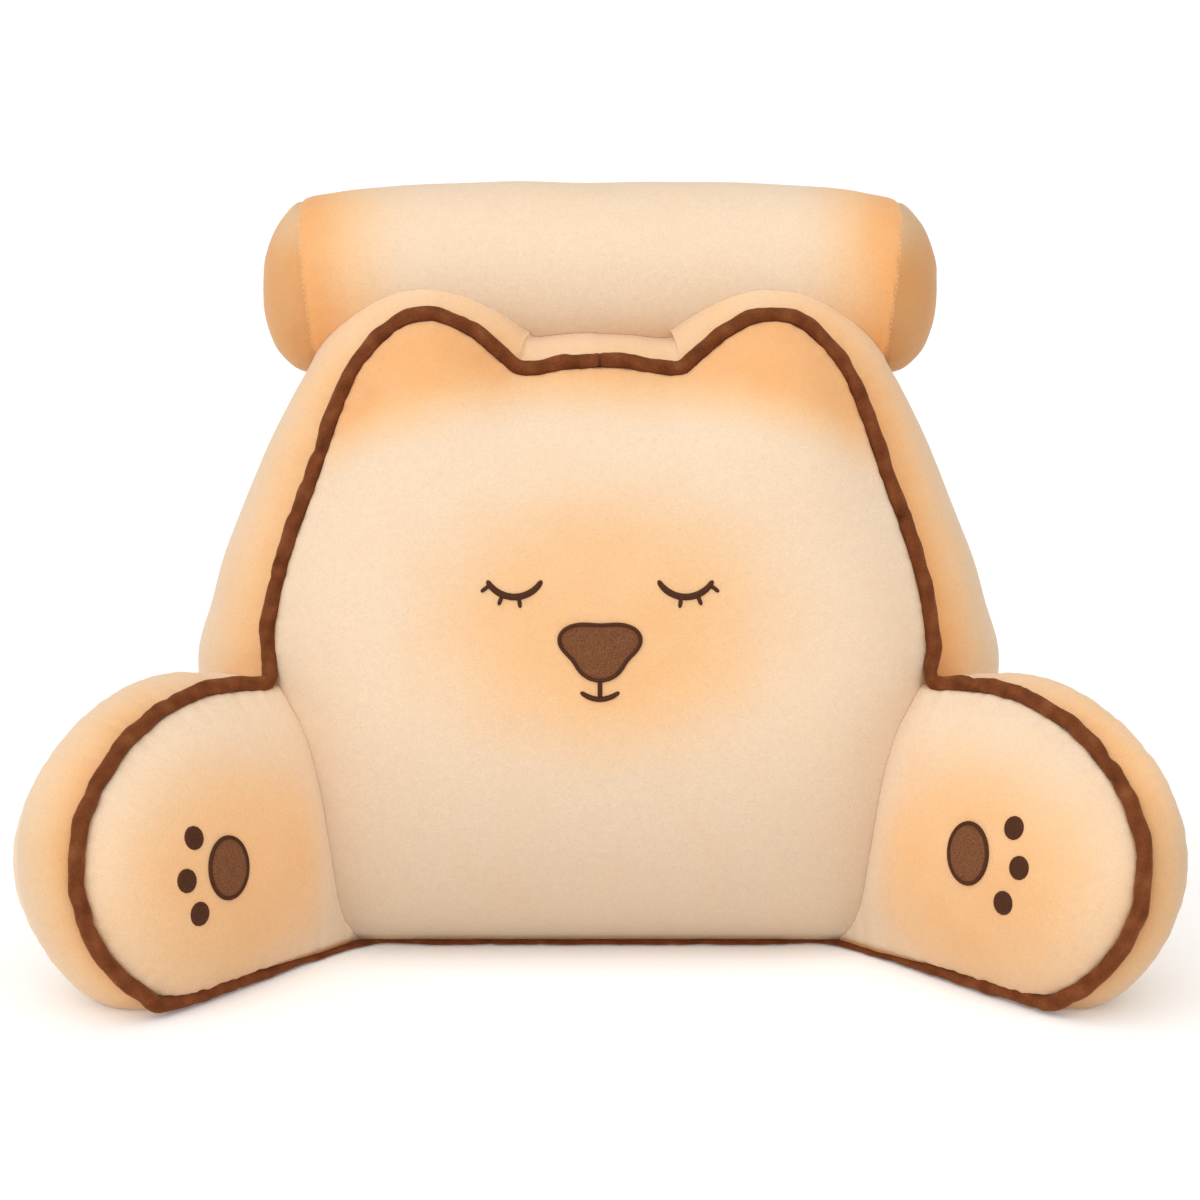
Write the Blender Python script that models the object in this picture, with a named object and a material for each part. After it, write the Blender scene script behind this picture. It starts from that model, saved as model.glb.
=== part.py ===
"""Reading pillow with two arms and a neck roll, in metres, +Z up, the sitter facing -Y.

The cover is sewn from a front panel, a boxing strip and a plain back panel, with a plush piping in the front
seam that runs over the back, round both arms and along the floor. The back, each arm and the neck roll are
filled solids: their panels crown out from the seams, and the boxing strips bulge between them.

Everything is drafted with y = 0 at the foot of the front seam, and centred over the origin at the end.
"""

import math

import bmesh
import bpy
from mathutils import Matrix, Vector

# ---------------------------------------------------------------- driving sizes
GAP = 0.0004  # clearance between neighbouring pieces
BASE_SAG = 0.045  # how far a base would bulge down if the floor were not there
CROWN_POWER = 0.62  # 0.5 would leave a seam square to its panel, 1 would leave it at a slant
OUTERMOST = 0.999  # a point of a cut cube from -1 to 1 that lies further out than this is on its surface

BACK_LEAN = math.radians(12)  # the front panel leans back from the vertical
BACK_DEPTH_BASE = 0.200  # y of the back panel's seam at the floor
BACK_DEPTH_TOP = 0.185  # and at the top of the ears
BACK_HEIGHT = 0.440
BACK_SEAM_LIFT = 0.014  # height of its lowest seams over the floor, as cut
BACK_TUCK = Vector((0.0, 0.018, -0.0075))  # how far the foot of the front panel is drawn in and down
BACK_TUCK_REACH = 0.020
BACK_FLARE_BASE = 1.20  # the back panel is this much wider than the front one, at the floor
BACK_FLARE_TOP = 1.03
BACK_CROWN_FRONT = 0.056
BACK_CROWN_REAR = 0.024
BACK_CROWN_REACH = 0.045  # distance from a seam over which the filling rounds up
BACK_FOOT_REACH = 0.030  # the same, over the floor seam
BACK_FOOT_POWER = 0.5
BACK_CUTS = (26, 16, 6)  # faces across, up and from front to rear
SEAM_POINTS_BACK = 30  # points on each side of a panel from which the distance to its seam is worked out
SEAM_POINTS_ARM = 24
STRIP_BULGE_TOP = 0.22  # bulge of the boxing strip, as a share of its width
STRIP_BULGE_SIDE = 0.300
STRIP_SLACK_RIGHT = 0.94  # the right side is stuffed a little less than the left
STRIP_FOOT = 0.03  # below about this height the side strip is drawn in

ARM_ROOT = Vector((0.188, 0.0, 0.0))  # where an arm's inner panel meets the back, at the floor
ARM_ROOT_SLOPE = Vector((0.197, 0.215, 1.0))  # how that line climbs
ARM_HEIGHT = 0.190
ARM_STRIP_BULGE = 0.016
ARM_STRIP_PULL = 1.0  # share of that bulge that the seam at the root takes away
ARM_SPREAD = 0.018  # the filling spreads this far where the strip rests on the floor
ARM_SPREAD_HEIGHT = 0.020
ARM_CROWN_INNER = 0.042
ARM_CROWN_OUTER = 0.048
ARM_CROWN_REACH = 0.032
ARM_ROOT_PULL = 0.45  # share of the crown that the seam at the root takes away
ARM_ROOT_REACH = 0.055
ARM_CUTS = (12, 12, 5)  # faces along, up and across
ARMS = {
    # the two arms are stuffed and turned a little differently, and so are their paw prints
    "arm_right": {
        "side": 1,
        "turn": math.radians(47.0),
        "stretch": 1.03,
        "strip_base": 0.051,
        "strip_top": 0.041,
        "pad_place": Vector((0.097, 0.089)),
    },
    "arm_left": {
        "side": -1,
        "turn": math.radians(50.5),
        "stretch": 1.00,
        "strip_base": 0.066,
        "strip_top": 0.055,
        "pad_place": Vector((0.112, 0.083)),
    },
}

ROLL_CENTRE_Y = 0.185
ROLL_CENTRE_Z = 0.462
ROLL_DROOP = 0.009  # how far its ends hang below its middle
ROLL_SIDES = 28

PIPE_RADIUS = 0.0055
PIPE_OUT = 0.0034  # piping axis, outside the seam
PIPE_FORWARD = 0.0026  # piping axis, in front of the seam
PIPE_FLOOR_CLEARANCE = 0.0012
PIPE_STEP = 0.015  # distance between the points of its axis
PIPE_FLOOR_LINE = (0.0, 0.06, 0.12, 0.165)  # from the middle of the floor line to an arm
PIPE_ALONG_SOLE = (0.42, 0.60, 0.80)  # shares of the arm's sole, of its top and of the back's side
PIPE_ALONG_ARM_TOP = (1.0, 0.82, 0.65, 0.48, 0.36)
PIPE_SIDE_START = 0.53
PIPE_TIP_POINTS = 12
PIPE_SIDE_POINTS = 8
PIPE_TOP_POINTS = 24

PATCH_GAP = 0.0004
PATCH_THICKNESS = 0.0014
PATCH_CUTTER_HALF = 0.02
PAW_PAD_HALF = Vector((0.0180, 0.0212))
NOSE_HEIGHT = 0.218  # up the front panel
NOSE_HALF = Vector((0.026, 0.019))
NOSE_CORNERS = 0.16  # how far the three corners stand out of an oval, as a share of its size
PATCH_SIDES = 28

# Right half of the back's front seam, from the floor to the shoulder.
BACK_SIDE = [
    # height along the panel, half width
    (BACK_SEAM_LIFT, 0.1860),
    (0.026, 0.1945),
    (0.060, 0.2050),
    (0.120, 0.2150),
    (0.170, 0.2240),
    (0.205, 0.2325),
    (0.250, 0.2288),
    (0.290, 0.2182),
    (0.335, 0.2020),
    (0.380, 0.1862),
    (0.405, 0.1762),
]
# From the right shoulder over the ear and the notch to the middle.
BACK_TOP = [
    # half width, height along the panel
    (0.1762, 0.4050),
    (0.1680, 0.4190),
    (0.1557, 0.4332),
    (0.1400, 0.4460),
    (0.1273, 0.4497),
    (0.1140, 0.4495),
    (0.1008, 0.4445),
    (0.0870, 0.4360),
    (0.0730, 0.4240),
    (0.0585, 0.4125),
    (0.0440, 0.4125),
    (0.0220, 0.4162),
    (0.0000, 0.4172),
]
# Seam of the arm's two panels, in four sides.
ARM_SOLE = [
    # along, height
    (-0.060, 0.006),
    (0.050, 0.006),
    (0.135, 0.006),
    (0.158, 0.0110),
]
ARM_TIP = [
    # along, height
    (0.158, 0.0110),
    (0.1740, 0.0200),
    (0.1880, 0.0330),
    (0.2000, 0.0500),
    (0.2072, 0.0680),
    (0.2105, 0.0880),
    (0.2068, 0.1120),
    (0.1950, 0.1345),
    (0.1765, 0.1550),
    (0.1475, 0.1748),
]
ARM_TOP = [
    # along, height
    (-0.060, 0.1800),
    (0.000, 0.1875),
    (0.039, 0.1912),
    (0.0764, 0.1935),
    (0.1125, 0.1880),
    (0.1475, 0.1748),
]
# Neck roll, turned about its long axis, from the middle to the end.
ROLL_PROFILE = [
    # distance from the middle, radius
    (0.0000, 0.0692),
    (0.0600, 0.0690),
    (0.1100, 0.0684),
    (0.1500, 0.0674),
    (0.1850, 0.0657),
    (0.2050, 0.0634),
    (0.2180, 0.0606),
    (0.2255, 0.0574),
    (0.2325, 0.0512),
    (0.2390, 0.0435),
    (0.2440, 0.0325),
    (0.2480, 0.0190),
    (0.2500, 0.0000),
]

CREAM_PLUSH = ("F3D3AC", 0.95)
PIPING_PLUSH = ("6B4127", 0.90)
APPLIQUE_FELT = ("7B4C32", 0.92)


# ---------------------------------------------------------------- curves
def through(points, share):
    """Point at a share of the length of a smooth curve through the points."""
    steps = [math.dist(p, q) for p, q in zip(points, points[1:])]
    left = share * sum(steps)
    index = 0
    while left > steps[index] and index < len(steps) - 1:
        left -= steps[index]
        index += 1
    t = min(left / steps[index], 1.0)
    p1, p2 = points[index], points[index + 1]
    p0 = points[index - 1] if index > 0 else [2 * a - b for a, b in zip(p1, p2)]
    p3 = points[index + 2] if index + 2 < len(points) else [2 * b - a for a, b in zip(p1, p2)]
    return Vector(
        b + 0.5 * t * (c - a + t * (2 * a - 5 * b + 4 * c - d + t * (3 * (b - c) + d - a)))
        for a, b, c, d in zip(p0, p1, p2, p3)
    )


def normal_beside(curve, share):
    """Unit normal of a flat curve, on the left of its direction."""
    along = curve(min(share + 0.01, 1.0)) - curve(max(share - 0.01, 0.0))
    return Vector((-along.y, along.x)).normalized()


def soft_distance(point, line):
    """Distance to a seam that stays smooth in the middle of a panel.

    It adds up 1 / distance cubed along the line, which beside one straight seam gives the true distance.
    """
    pull = 0.0
    for start, end in zip(line, line[1:]):
        length = (end - start).length
        along = (end - start) / length
        near = (point - start).dot(along)
        square = max((point - start - near * along).length_squared, 1e-10)
        far = length - near
        pull += (near / math.hypot(near, math.sqrt(square)) + far / math.hypot(far, math.sqrt(square))) / square
    return math.sqrt(2.0 / pull)


def eased(value, amount):
    """An even step from -1 to 1, made finer toward both ends."""
    return value * (1 - amount) + math.sin(value * math.pi / 2) * amount


def coons(low, high, first, last, a, b):
    """Point of a flat panel between its four side curves, for a and b from -1 to 1."""
    u, v = (a + 1) / 2, (b + 1) / 2
    corners = (1 - v) * ((1 - u) * low(0) + u * low(1)) + v * ((1 - u) * high(0) + u * high(1))
    return (1 - v) * low(u) + v * high(u) + (1 - u) * first(v) + u * last(v) - corners


def crown(distance, reach, power):
    """Share of its full crown that a panel has at a distance from a seam."""
    return (1 - math.exp(-max(distance, 0.0) / reach)) ** power


# ---------------------------------------------------------------- back cushion
def back_right(share):
    height, half = through(BACK_SIDE, share)
    return Vector((half, height))


def back_left(share):
    half, height = back_right(share)
    return Vector((-half, height))


def back_top(share):
    """From the left shoulder to the right one."""
    half, height = through(BACK_TOP, 1 - abs(1 - 2 * share))
    return Vector((math.copysign(half, share - 0.5), height))


def back_floor(share):
    return Vector(((2 * share - 1) * BACK_SIDE[0][1], BACK_SIDE[0][0]))


def back_seam(count):
    """Points of the front seam without its floor line, from one foot to the other."""
    shares = [i / count for i in range(count)]
    return (
        [back_left(share) for share in shares]
        + [back_top(share) for share in shares]
        + [back_right(1 - share) for share in shares + [1.0]]
    )


BACK_SEAM = back_seam(SEAM_POINTS_BACK)


def back_crown(flat):
    side = crown(soft_distance(flat, BACK_SEAM), BACK_CROWN_REACH, CROWN_POWER)
    return side * crown(flat.y - BACK_SEAM_LIFT, BACK_FOOT_REACH, BACK_FOOT_POWER)


def back_front_seam(flat):
    """Place in space of a point of the flat front panel, with its foot tucked in."""
    tuck = BACK_TUCK * math.exp(-max(flat.y - BACK_SEAM_LIFT, 0.0) / BACK_TUCK_REACH)
    return Vector((flat.x, flat.y * math.sin(BACK_LEAN), flat.y * math.cos(BACK_LEAN))) + tuck


def back_front_surface(flat):
    forward = Vector((0.0, -math.cos(BACK_LEAN), math.sin(BACK_LEAN)))
    return back_front_seam(flat) + forward * BACK_CROWN_FRONT * back_crown(flat)


def back_rear_seam(flat):
    height = flat.y * math.cos(BACK_LEAN)
    rise = height / BACK_HEIGHT
    depth = BACK_DEPTH_BASE + (BACK_DEPTH_TOP - BACK_DEPTH_BASE) * rise
    flare = BACK_FLARE_BASE + (BACK_FLARE_TOP - BACK_FLARE_BASE) * rise
    return Vector((flat.x * flare, depth, height))


def back_point(a, b, c):
    """Place of a point of the filled back: a across, b up and c from front to rear, each from -1 to 1."""
    u, v = eased(a, 0.35), eased(b, 0.75)
    flat = coons(back_floor, back_top, back_left, back_right, u, v)
    inside = 0.0 if max(abs(a), abs(b)) > OUTERMOST else 1.0
    if c < -OUTERMOST:
        return back_front_surface(flat) if inside else back_front_seam(flat)
    if c > OUTERMOST:
        return back_rear_seam(flat) + Vector((0, BACK_CROWN_REAR * inside * back_crown(flat), 0))
    front, rear = back_front_seam(flat), back_rear_seam(flat)
    place = front.lerp(rear, (eased(c, 0.5) + 1) / 2)
    bulge = math.cos(c * math.pi / 2)
    if b < -OUTERMOST:
        place.z = max(place.z - BASE_SAG * bulge, 0.0)
    elif b > OUTERMOST:
        normal = normal_beside(back_top, (u + 1) / 2)
    else:
        normal = -normal_beside(back_right, (v + 1) / 2)
        normal.x = math.copysign(normal.x, a)
    if b > -OUTERMOST:
        share = STRIP_BULGE_TOP + (STRIP_BULGE_SIDE - STRIP_BULGE_TOP) * normal.x**2
        share *= STRIP_SLACK_RIGHT if normal.x > 0 else 1.0
        drawn_in = crown(flat.y, STRIP_FOOT, 1)
        place += Vector((normal.x, 0, normal.y)) * (rear.y - front.y) * share * bulge * drawn_in
    return place


# ---------------------------------------------------------------- arms
def arm_sole(share):
    return through(ARM_SOLE, share)


def arm_top(share):
    return through(ARM_TOP, share)


def arm_tip(share):
    return through(ARM_TIP, share)


def arm_root(share):
    return Vector(ARM_SOLE[0]).lerp(Vector(ARM_TOP[0]), share)


def arm_seam(count):
    """Points of the seam round an arm's panel, from the root along the floor, round the tip and back."""
    shares = [i / count for i in range(count)]
    return (
        [arm_sole(share) for share in shares]
        + [arm_tip(share) for share in shares]
        + [arm_top(1 - share) for share in shares + [1.0]]
    )


ARM_SEAM = arm_seam(SEAM_POINTS_ARM)


def root_pull(along, amount):
    return 1 - amount * math.exp(-max(along, 0.0) / ARM_ROOT_REACH)


def arm_crown(flat):
    rise = crown(soft_distance(flat, ARM_SEAM), ARM_CROWN_REACH, CROWN_POWER)
    return rise * root_pull(flat.x, ARM_ROOT_PULL)


class Arm:
    """One filled arm, drafted from its flat panel: along the arm from its root, and up."""

    def __init__(self, side, turn, stretch, strip_base, strip_top, pad_place):
        self.side = Vector((side, 1, 1))
        self.direction = Vector((math.cos(turn), -math.sin(turn), 0)) * self.side
        self.outward = Vector((math.sin(turn), math.cos(turn), 0)) * self.side
        self.slope = ARM_ROOT_SLOPE * self.side
        self.up = self.slope.normalized()
        self.inward = self.direction.cross(self.up).normalized() * side
        self.stretch = stretch
        self.strip = (strip_base, strip_top)
        self.pad_place = pad_place

    def inner_seam(self, flat):
        """Place in space of a point of the flat inner panel."""
        return ARM_ROOT * self.side + self.direction * flat.x * self.stretch + self.slope * flat.y

    def outer_seam(self, flat):
        base, top = self.strip
        return self.inner_seam(flat) + self.outward * (base + (top - base) * flat.y / ARM_HEIGHT)

    def inner_surface(self, flat):
        return self.inner_seam(flat) + self.inward * ARM_CROWN_INNER * arm_crown(flat)

    def point(self, a, b, c):
        """Place of a point of the arm: a along, b up and c from the inner to the outer panel, from -1 to 1."""
        u, v = eased(a, 0.5), eased(b, 0.6)
        flat = coons(arm_sole, arm_top, arm_root, arm_tip, u, v)
        inside = a < OUTERMOST and abs(b) < OUTERMOST
        inner, outer = self.inner_seam(flat), self.outer_seam(flat)
        spread = self.outward + self.direction
        spread *= ARM_SPREAD * math.exp(-flat.y / ARM_SPREAD_HEIGHT) * (eased(c, 0.5) + 1) / 2
        if c < -OUTERMOST:
            return self.inner_surface(flat) if inside else inner
        if c > OUTERMOST:
            rise = arm_crown(flat) if inside else 0.0
            return outer - self.inward * ARM_CROWN_OUTER * rise + spread
        place = inner.lerp(outer, (eased(c, 0.5) + 1) / 2) + spread
        bulge = math.cos(c * math.pi / 2)
        if b < -OUTERMOST:
            place.z = max(place.z - BASE_SAG * bulge, 0.0)
            return place
        if b > OUTERMOST:
            normal = normal_beside(arm_top, (u + 1) / 2)
        elif a > OUTERMOST:
            normal = -normal_beside(arm_tip, (v + 1) / 2)
        else:
            normal = Vector((0, 0))
        bulge *= ARM_STRIP_BULGE * root_pull(flat.x, ARM_STRIP_PULL)
        return place + (self.direction * normal.x + self.up * normal.y) * bulge


# ---------------------------------------------------------------- piping
def piping_half(arm):
    """Points of the piping's axis on an arm's side, from the middle of the floor line to the notch."""
    floor = PIPE_RADIUS + PIPE_FLOOR_CLEARANCE
    forward = Vector((0.0, -math.cos(BACK_LEAN), math.sin(BACK_LEAN)))
    route = [Vector((x, BACK_TUCK.y - PIPE_FORWARD, floor)) * arm.side for x in PIPE_FLOOR_LINE]
    for share in PIPE_ALONG_SOLE:
        route.append(arm.inner_seam(arm_sole(share)) + arm.inward * PIPE_FORWARD)
        route[-1].z = floor
    for index in range(PIPE_TIP_POINTS):
        share = index / PIPE_TIP_POINTS
        flat = arm_tip(share) - normal_beside(arm_tip, share) * PIPE_OUT
        route.append(arm.inner_seam(flat) + arm.inward * PIPE_FORWARD)
    for share in PIPE_ALONG_ARM_TOP:
        flat = arm_top(share) + normal_beside(arm_top, share) * PIPE_OUT
        route.append(arm.inner_seam(flat) + arm.inward * PIPE_FORWARD)
    for index in range(PIPE_SIDE_POINTS):
        share = PIPE_SIDE_START + (1 - PIPE_SIDE_START) * index / PIPE_SIDE_POINTS
        flat = back_right(share) - normal_beside(back_right, share) * PIPE_OUT
        route.append((back_front_seam(flat) + forward * PIPE_FORWARD) * arm.side)
    for index in range(PIPE_TOP_POINTS + 1):
        share = 1 - index / PIPE_TOP_POINTS / 2
        flat = back_top(share) + normal_beside(back_top, share) * PIPE_OUT
        route.append((back_front_seam(flat) + forward * PIPE_FORWARD) * arm.side)
    route[-1].x = 0.0
    for point in route:
        point.z = max(point.z, floor)
    return route


def piping_mesh(radius):
    """Closed tube of the given radius along the whole route."""
    right, left = piping_half(arms["arm_right"]), piping_half(arms["arm_left"])
    loop = right + left[-2::-1]
    length = sum((q - p).length for p, q in zip(loop, loop[1:]))
    count = round(length / PIPE_STEP)
    curve = bpy.data.curves.new("piping_axis", "CURVE")
    curve.dimensions = "3D"
    curve.bevel_depth = radius
    curve.bevel_resolution = 2
    spline = curve.splines.new("POLY")
    spline.points.add(count - 1)
    spline.use_cyclic_u = True
    for index, point in enumerate(spline.points):
        point.co = (*through(loop, index / count), 1.0)
    guide = bpy.data.objects.new("piping_axis", curve)
    mesh = bpy.data.meshes.new_from_object(guide)
    bpy.data.objects.remove(guide)
    return mesh


# ---------------------------------------------------------------- making the pieces
def filled_mesh(name, cuts, place):
    """A cube cut into faces, with each point moved to its place on the filled piece."""
    shape = bmesh.new()
    bmesh.ops.create_cube(shape, size=2)
    for axis, count in enumerate(cuts):
        across = Vector((0, 0, 0))
        across[axis] = 1
        for step in range(1, count):
            geometry = shape.verts[:] + shape.edges[:] + shape.faces[:]
            at = across * (2 * step / count - 1)
            bmesh.ops.bisect_plane(shape, geom=geometry, plane_co=at, plane_no=across)
    for vert in shape.verts:
        vert.co = place(*vert.co)
    bmesh.ops.triangulate(shape, faces=shape.faces)
    bmesh.ops.recalc_face_normals(shape, faces=shape.faces)
    mesh = bpy.data.meshes.new(name)
    shape.to_mesh(mesh)
    shape.free()
    return mesh


def turned_mesh(name, profile, sides):
    """A profile and its mirror image turned about the X axis."""
    shape = bmesh.new()
    points = [(-x, r) for x, r in profile[:0:-1]] + profile
    verts = [shape.verts.new((x, 0, r)) for x, r in points]
    edges = [shape.edges.new(pair) for pair in zip(verts, verts[1:])]
    bmesh.ops.spin(
        shape, geom=verts + edges, cent=(0, 0, 0), axis=(1, 0, 0), angle=math.tau, steps=sides, use_merge=True
    )
    bmesh.ops.remove_doubles(shape, verts=shape.verts, dist=1e-6)
    bmesh.ops.recalc_face_normals(shape, faces=shape.faces)
    mesh = bpy.data.meshes.new(name)
    shape.to_mesh(mesh)
    shape.free()
    return mesh


def prism_mesh(name, outline, half_depth):
    """A prism of the outline along Z."""
    shape = bmesh.new()
    face = shape.faces.new([shape.verts.new((x, y, -half_depth)) for x, y in outline])
    raised = bmesh.ops.extrude_face_region(shape, geom=[face])["geom"]
    verts = [item for item in raised if isinstance(item, bmesh.types.BMVert)]
    bmesh.ops.translate(shape, verts=verts, vec=(0, 0, 2 * half_depth))
    bmesh.ops.recalc_face_normals(shape, faces=shape.faces)
    mesh = bpy.data.meshes.new(name)
    shape.to_mesh(mesh)
    shape.free()
    return mesh


def finish_material(name, finish):
    colour, roughness = finish
    material = bpy.data.materials.new(name)
    material.use_nodes = True
    shader = material.node_tree.nodes["Principled BSDF"]
    channels = [int(colour[i : i + 2], 16) / 255 for i in (0, 2, 4)]
    linear = [(c / 12.92) if c <= 0.04045 else ((c + 0.055) / 1.055) ** 2.4 for c in channels]
    shader.inputs["Base Color"].default_value = (*linear, 1)
    shader.inputs["Roughness"].default_value = roughness
    shader.inputs["Metallic"].default_value = 0.0
    return material


def piece(name, mesh, finish):
    """A piece of the pillow, with its own material."""
    item = bpy.data.objects.new(name, mesh)
    bpy.context.collection.objects.link(item)
    mesh.shade_smooth()
    mesh.materials.append(finish_material(name, finish))
    return item


def cutter(name, mesh, grow=0.0):
    """A guide that only cuts other pieces, grown along its normals."""
    item = bpy.data.objects.new(name, mesh)
    bpy.context.collection.objects.link(item)
    item.hide_render = True
    item.display_type = "WIRE"
    if grow:
        swell = item.modifiers.new("clearance", "DISPLACE")
        swell.strength = grow
        swell.mid_level = 0.0
    return item


def cut(item, tool, operation="DIFFERENCE"):
    step = item.modifiers.new(tool.name, "BOOLEAN")
    step.object = tool
    step.operation = operation
    step.solver = "EXACT"


def patch(name, outline, centre, frame, panel, finish):
    """Applique cloth: the outline's prism between two shells grown from the panel that it is sewn on."""
    prism = prism_mesh(name, outline, PATCH_CUTTER_HALF)
    turn = Matrix([frame[0], frame[1], frame[0].cross(frame[1])]).transposed().to_4x4()
    prism.transform(Matrix.Translation(centre) @ turn)
    item = piece(name, prism, finish)
    cut(item, cutter(name + "_face", panel.copy(), PATCH_GAP + PATCH_THICKNESS), "INTERSECT")
    cut(item, cutter(name + "_back", panel.copy(), PATCH_GAP))
    return item


# ---------------------------------------------------------------- assembly
for item in list(bpy.data.objects):
    bpy.data.objects.remove(item)

arms = {name: Arm(**sizes) for name, sizes in ARMS.items()}
back_mesh = filled_mesh("back_cushion", BACK_CUTS, back_point)
arm_meshes = {name: filled_mesh(name, ARM_CUTS, arm.point) for name, arm in arms.items()}
roll_mesh = turned_mesh("neck_roll", ROLL_PROFILE, ROLL_SIDES)
for vert in roll_mesh.vertices:
    droop = ROLL_DROOP * (vert.co.x / ROLL_PROFILE[-1][0]) ** 4
    vert.co += Vector((0, ROLL_CENTRE_Y, ROLL_CENTRE_Z - droop))

roll_seat = cutter("roll_seat", roll_mesh.copy(), GAP)
back_clearance = cutter("back_clearance", back_mesh.copy(), GAP)
piping_groove = cutter("piping_groove", piping_mesh(PIPE_RADIUS + GAP))

back = piece("back_cushion", back_mesh.copy(), CREAM_PLUSH)
cut(back, roll_seat)
cut(back, piping_groove)
for name, mesh in arm_meshes.items():
    arm = piece(name, mesh.copy(), CREAM_PLUSH)
    cut(arm, back_clearance)
    cut(arm, piping_groove)
piece("neck_roll", roll_mesh, CREAM_PLUSH)
piece("piping", piping_mesh(PIPE_RADIUS), PIPING_PLUSH)

turns = [math.tau * i / PATCH_SIDES for i in range(PATCH_SIDES)]
pad_outline = [(PAW_PAD_HALF.x * math.cos(t), PAW_PAD_HALF.y * math.sin(t)) for t in turns]
for name, arm in arms.items():
    centre = arm.inner_surface(arm.pad_place)
    across = Vector((1, 0, 0)) - arm.inward * arm.inward.x
    frame = (across.normalized(), arm.inward.cross(across).normalized())
    patch(name.replace("arm", "paw_pad"), pad_outline, centre, frame, arm_meshes[name], APPLIQUE_FELT)


def nose_point(turn):
    """A rounded triangle, point down."""
    reach = 1 + NOSE_CORNERS * math.sin(3 * turn)
    return (NOSE_HALF.x * reach * math.cos(turn), NOSE_HALF.y * reach * math.sin(turn))


nose_centre = back_front_surface(Vector((0, NOSE_HEIGHT)))
nose_frame = (Vector((1, 0, 0)), Vector((0, math.sin(BACK_LEAN), math.cos(BACK_LEAN))))
patch("nose_patch", [nose_point(t) for t in turns], nose_centre, nose_frame, back_mesh, APPLIQUE_FELT)


def stand_over_origin(items):
    """Parents everything to one empty, placed so that the middle of the pieces' common box is over the origin."""
    view = bpy.context.evaluated_depsgraph_get()
    solids = [item.evaluated_get(view).data for item in items if not item.hide_render]
    places = [[vert.co[axis] for mesh in solids for vert in mesh.vertices] for axis in (0, 1)]
    root = bpy.data.objects.new("pillow", None)
    bpy.context.collection.objects.link(root)
    root.location = [-(min(values) + max(values)) / 2 for values in places] + [0]
    for item in items:
        item.parent = root


stand_over_origin(list(bpy.data.objects))
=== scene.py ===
"""Reading pillow with arms: plush covers, piping, neck roll, applique and stitching, made on its solids."""

import math
import random

import bmesh
import bpy
import numpy as np
from mathutils import Matrix, Vector
from mathutils.bvhtree import BVHTree
from mathutils.kdtree import KDTree


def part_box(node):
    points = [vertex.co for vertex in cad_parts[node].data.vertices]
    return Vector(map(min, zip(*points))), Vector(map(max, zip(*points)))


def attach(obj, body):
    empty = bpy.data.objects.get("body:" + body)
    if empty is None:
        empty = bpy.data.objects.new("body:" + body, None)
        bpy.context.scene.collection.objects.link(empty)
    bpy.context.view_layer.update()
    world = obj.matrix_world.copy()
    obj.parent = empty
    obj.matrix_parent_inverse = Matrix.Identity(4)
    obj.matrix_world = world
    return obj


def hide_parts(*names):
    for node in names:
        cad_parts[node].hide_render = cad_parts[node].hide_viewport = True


# ---------------------------------------------------------------- where the pillow stands
# The solids are centred over the origin, while the pillow was drafted from the foot of its front seam. Places
# below are given in that draft, and are moved by DRAFT, which is read from where the neck roll lies.
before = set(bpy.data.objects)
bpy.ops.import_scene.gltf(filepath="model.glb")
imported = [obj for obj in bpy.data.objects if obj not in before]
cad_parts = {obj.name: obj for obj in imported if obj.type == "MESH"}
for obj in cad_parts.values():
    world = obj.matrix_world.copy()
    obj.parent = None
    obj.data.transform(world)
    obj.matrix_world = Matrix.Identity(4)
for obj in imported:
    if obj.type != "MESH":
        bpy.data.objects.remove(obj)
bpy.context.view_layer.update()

ROLL_CENTRE_Y = 0.185
roll_low, roll_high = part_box("neck_roll")
DRAFT = Vector(((roll_low.x + roll_high.x) / 2, (roll_low.y + roll_high.y) / 2 - ROLL_CENTRE_Y, 0.0))

# ---------------------------------------------------------------- photo studio
# White paper under one very large soft light, above and in front, with white walls all round, so that the
# cloth shows its roundness without hard shadows. The camera is 1.9 m in front and looks 12 degrees down.
CAMERA_LENS = 85
CAMERA_SENSOR = 36
CAMERA_PLACE = Vector((0.0, -1.91, 0.67))
CAMERA_PITCH = math.radians(12.2)
KEY_STRENGTH = 2.25
KEY_SOFTNESS = math.radians(90)
KEY_HEIGHT = math.radians(64)
KEY_SIDE = math.radians(-22)
WALL_STRENGTH = (1.02, 0.26)  # at the foot of the walls, which reads as white, and overhead
WALL_FOOT = (0.21, 0.50)  # sines of the heights between which the walls grow dimmer
PAPER_GLOW = 0.12
FLOOR_SIZE = 400.0


def new_object(name, data):
    """An object of the data, in the scene."""
    item = bpy.data.objects.new(name, data)
    bpy.context.scene.collection.objects.link(item)
    return item


camera_data = bpy.data.cameras.new("photo_camera")
camera_data.lens = CAMERA_LENS
camera_data.sensor_width = CAMERA_SENSOR
camera = new_object("photo_camera", camera_data)
camera.location = CAMERA_PLACE + DRAFT
camera.rotation_euler = (math.pi / 2 - CAMERA_PITCH, 0, 0)
bpy.context.scene.camera = camera
bpy.context.scene.view_settings.view_transform = "Standard"


def linear(colour):
    """A linear colour from an sRGB hex value."""
    channels = [int(colour[i : i + 2], 16) / 255 for i in (0, 2, 4)]
    return tuple(c / 12.92 if c <= 0.04045 else ((c + 0.055) / 1.055) ** 2.4 for c in channels) + (1.0,)


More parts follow.
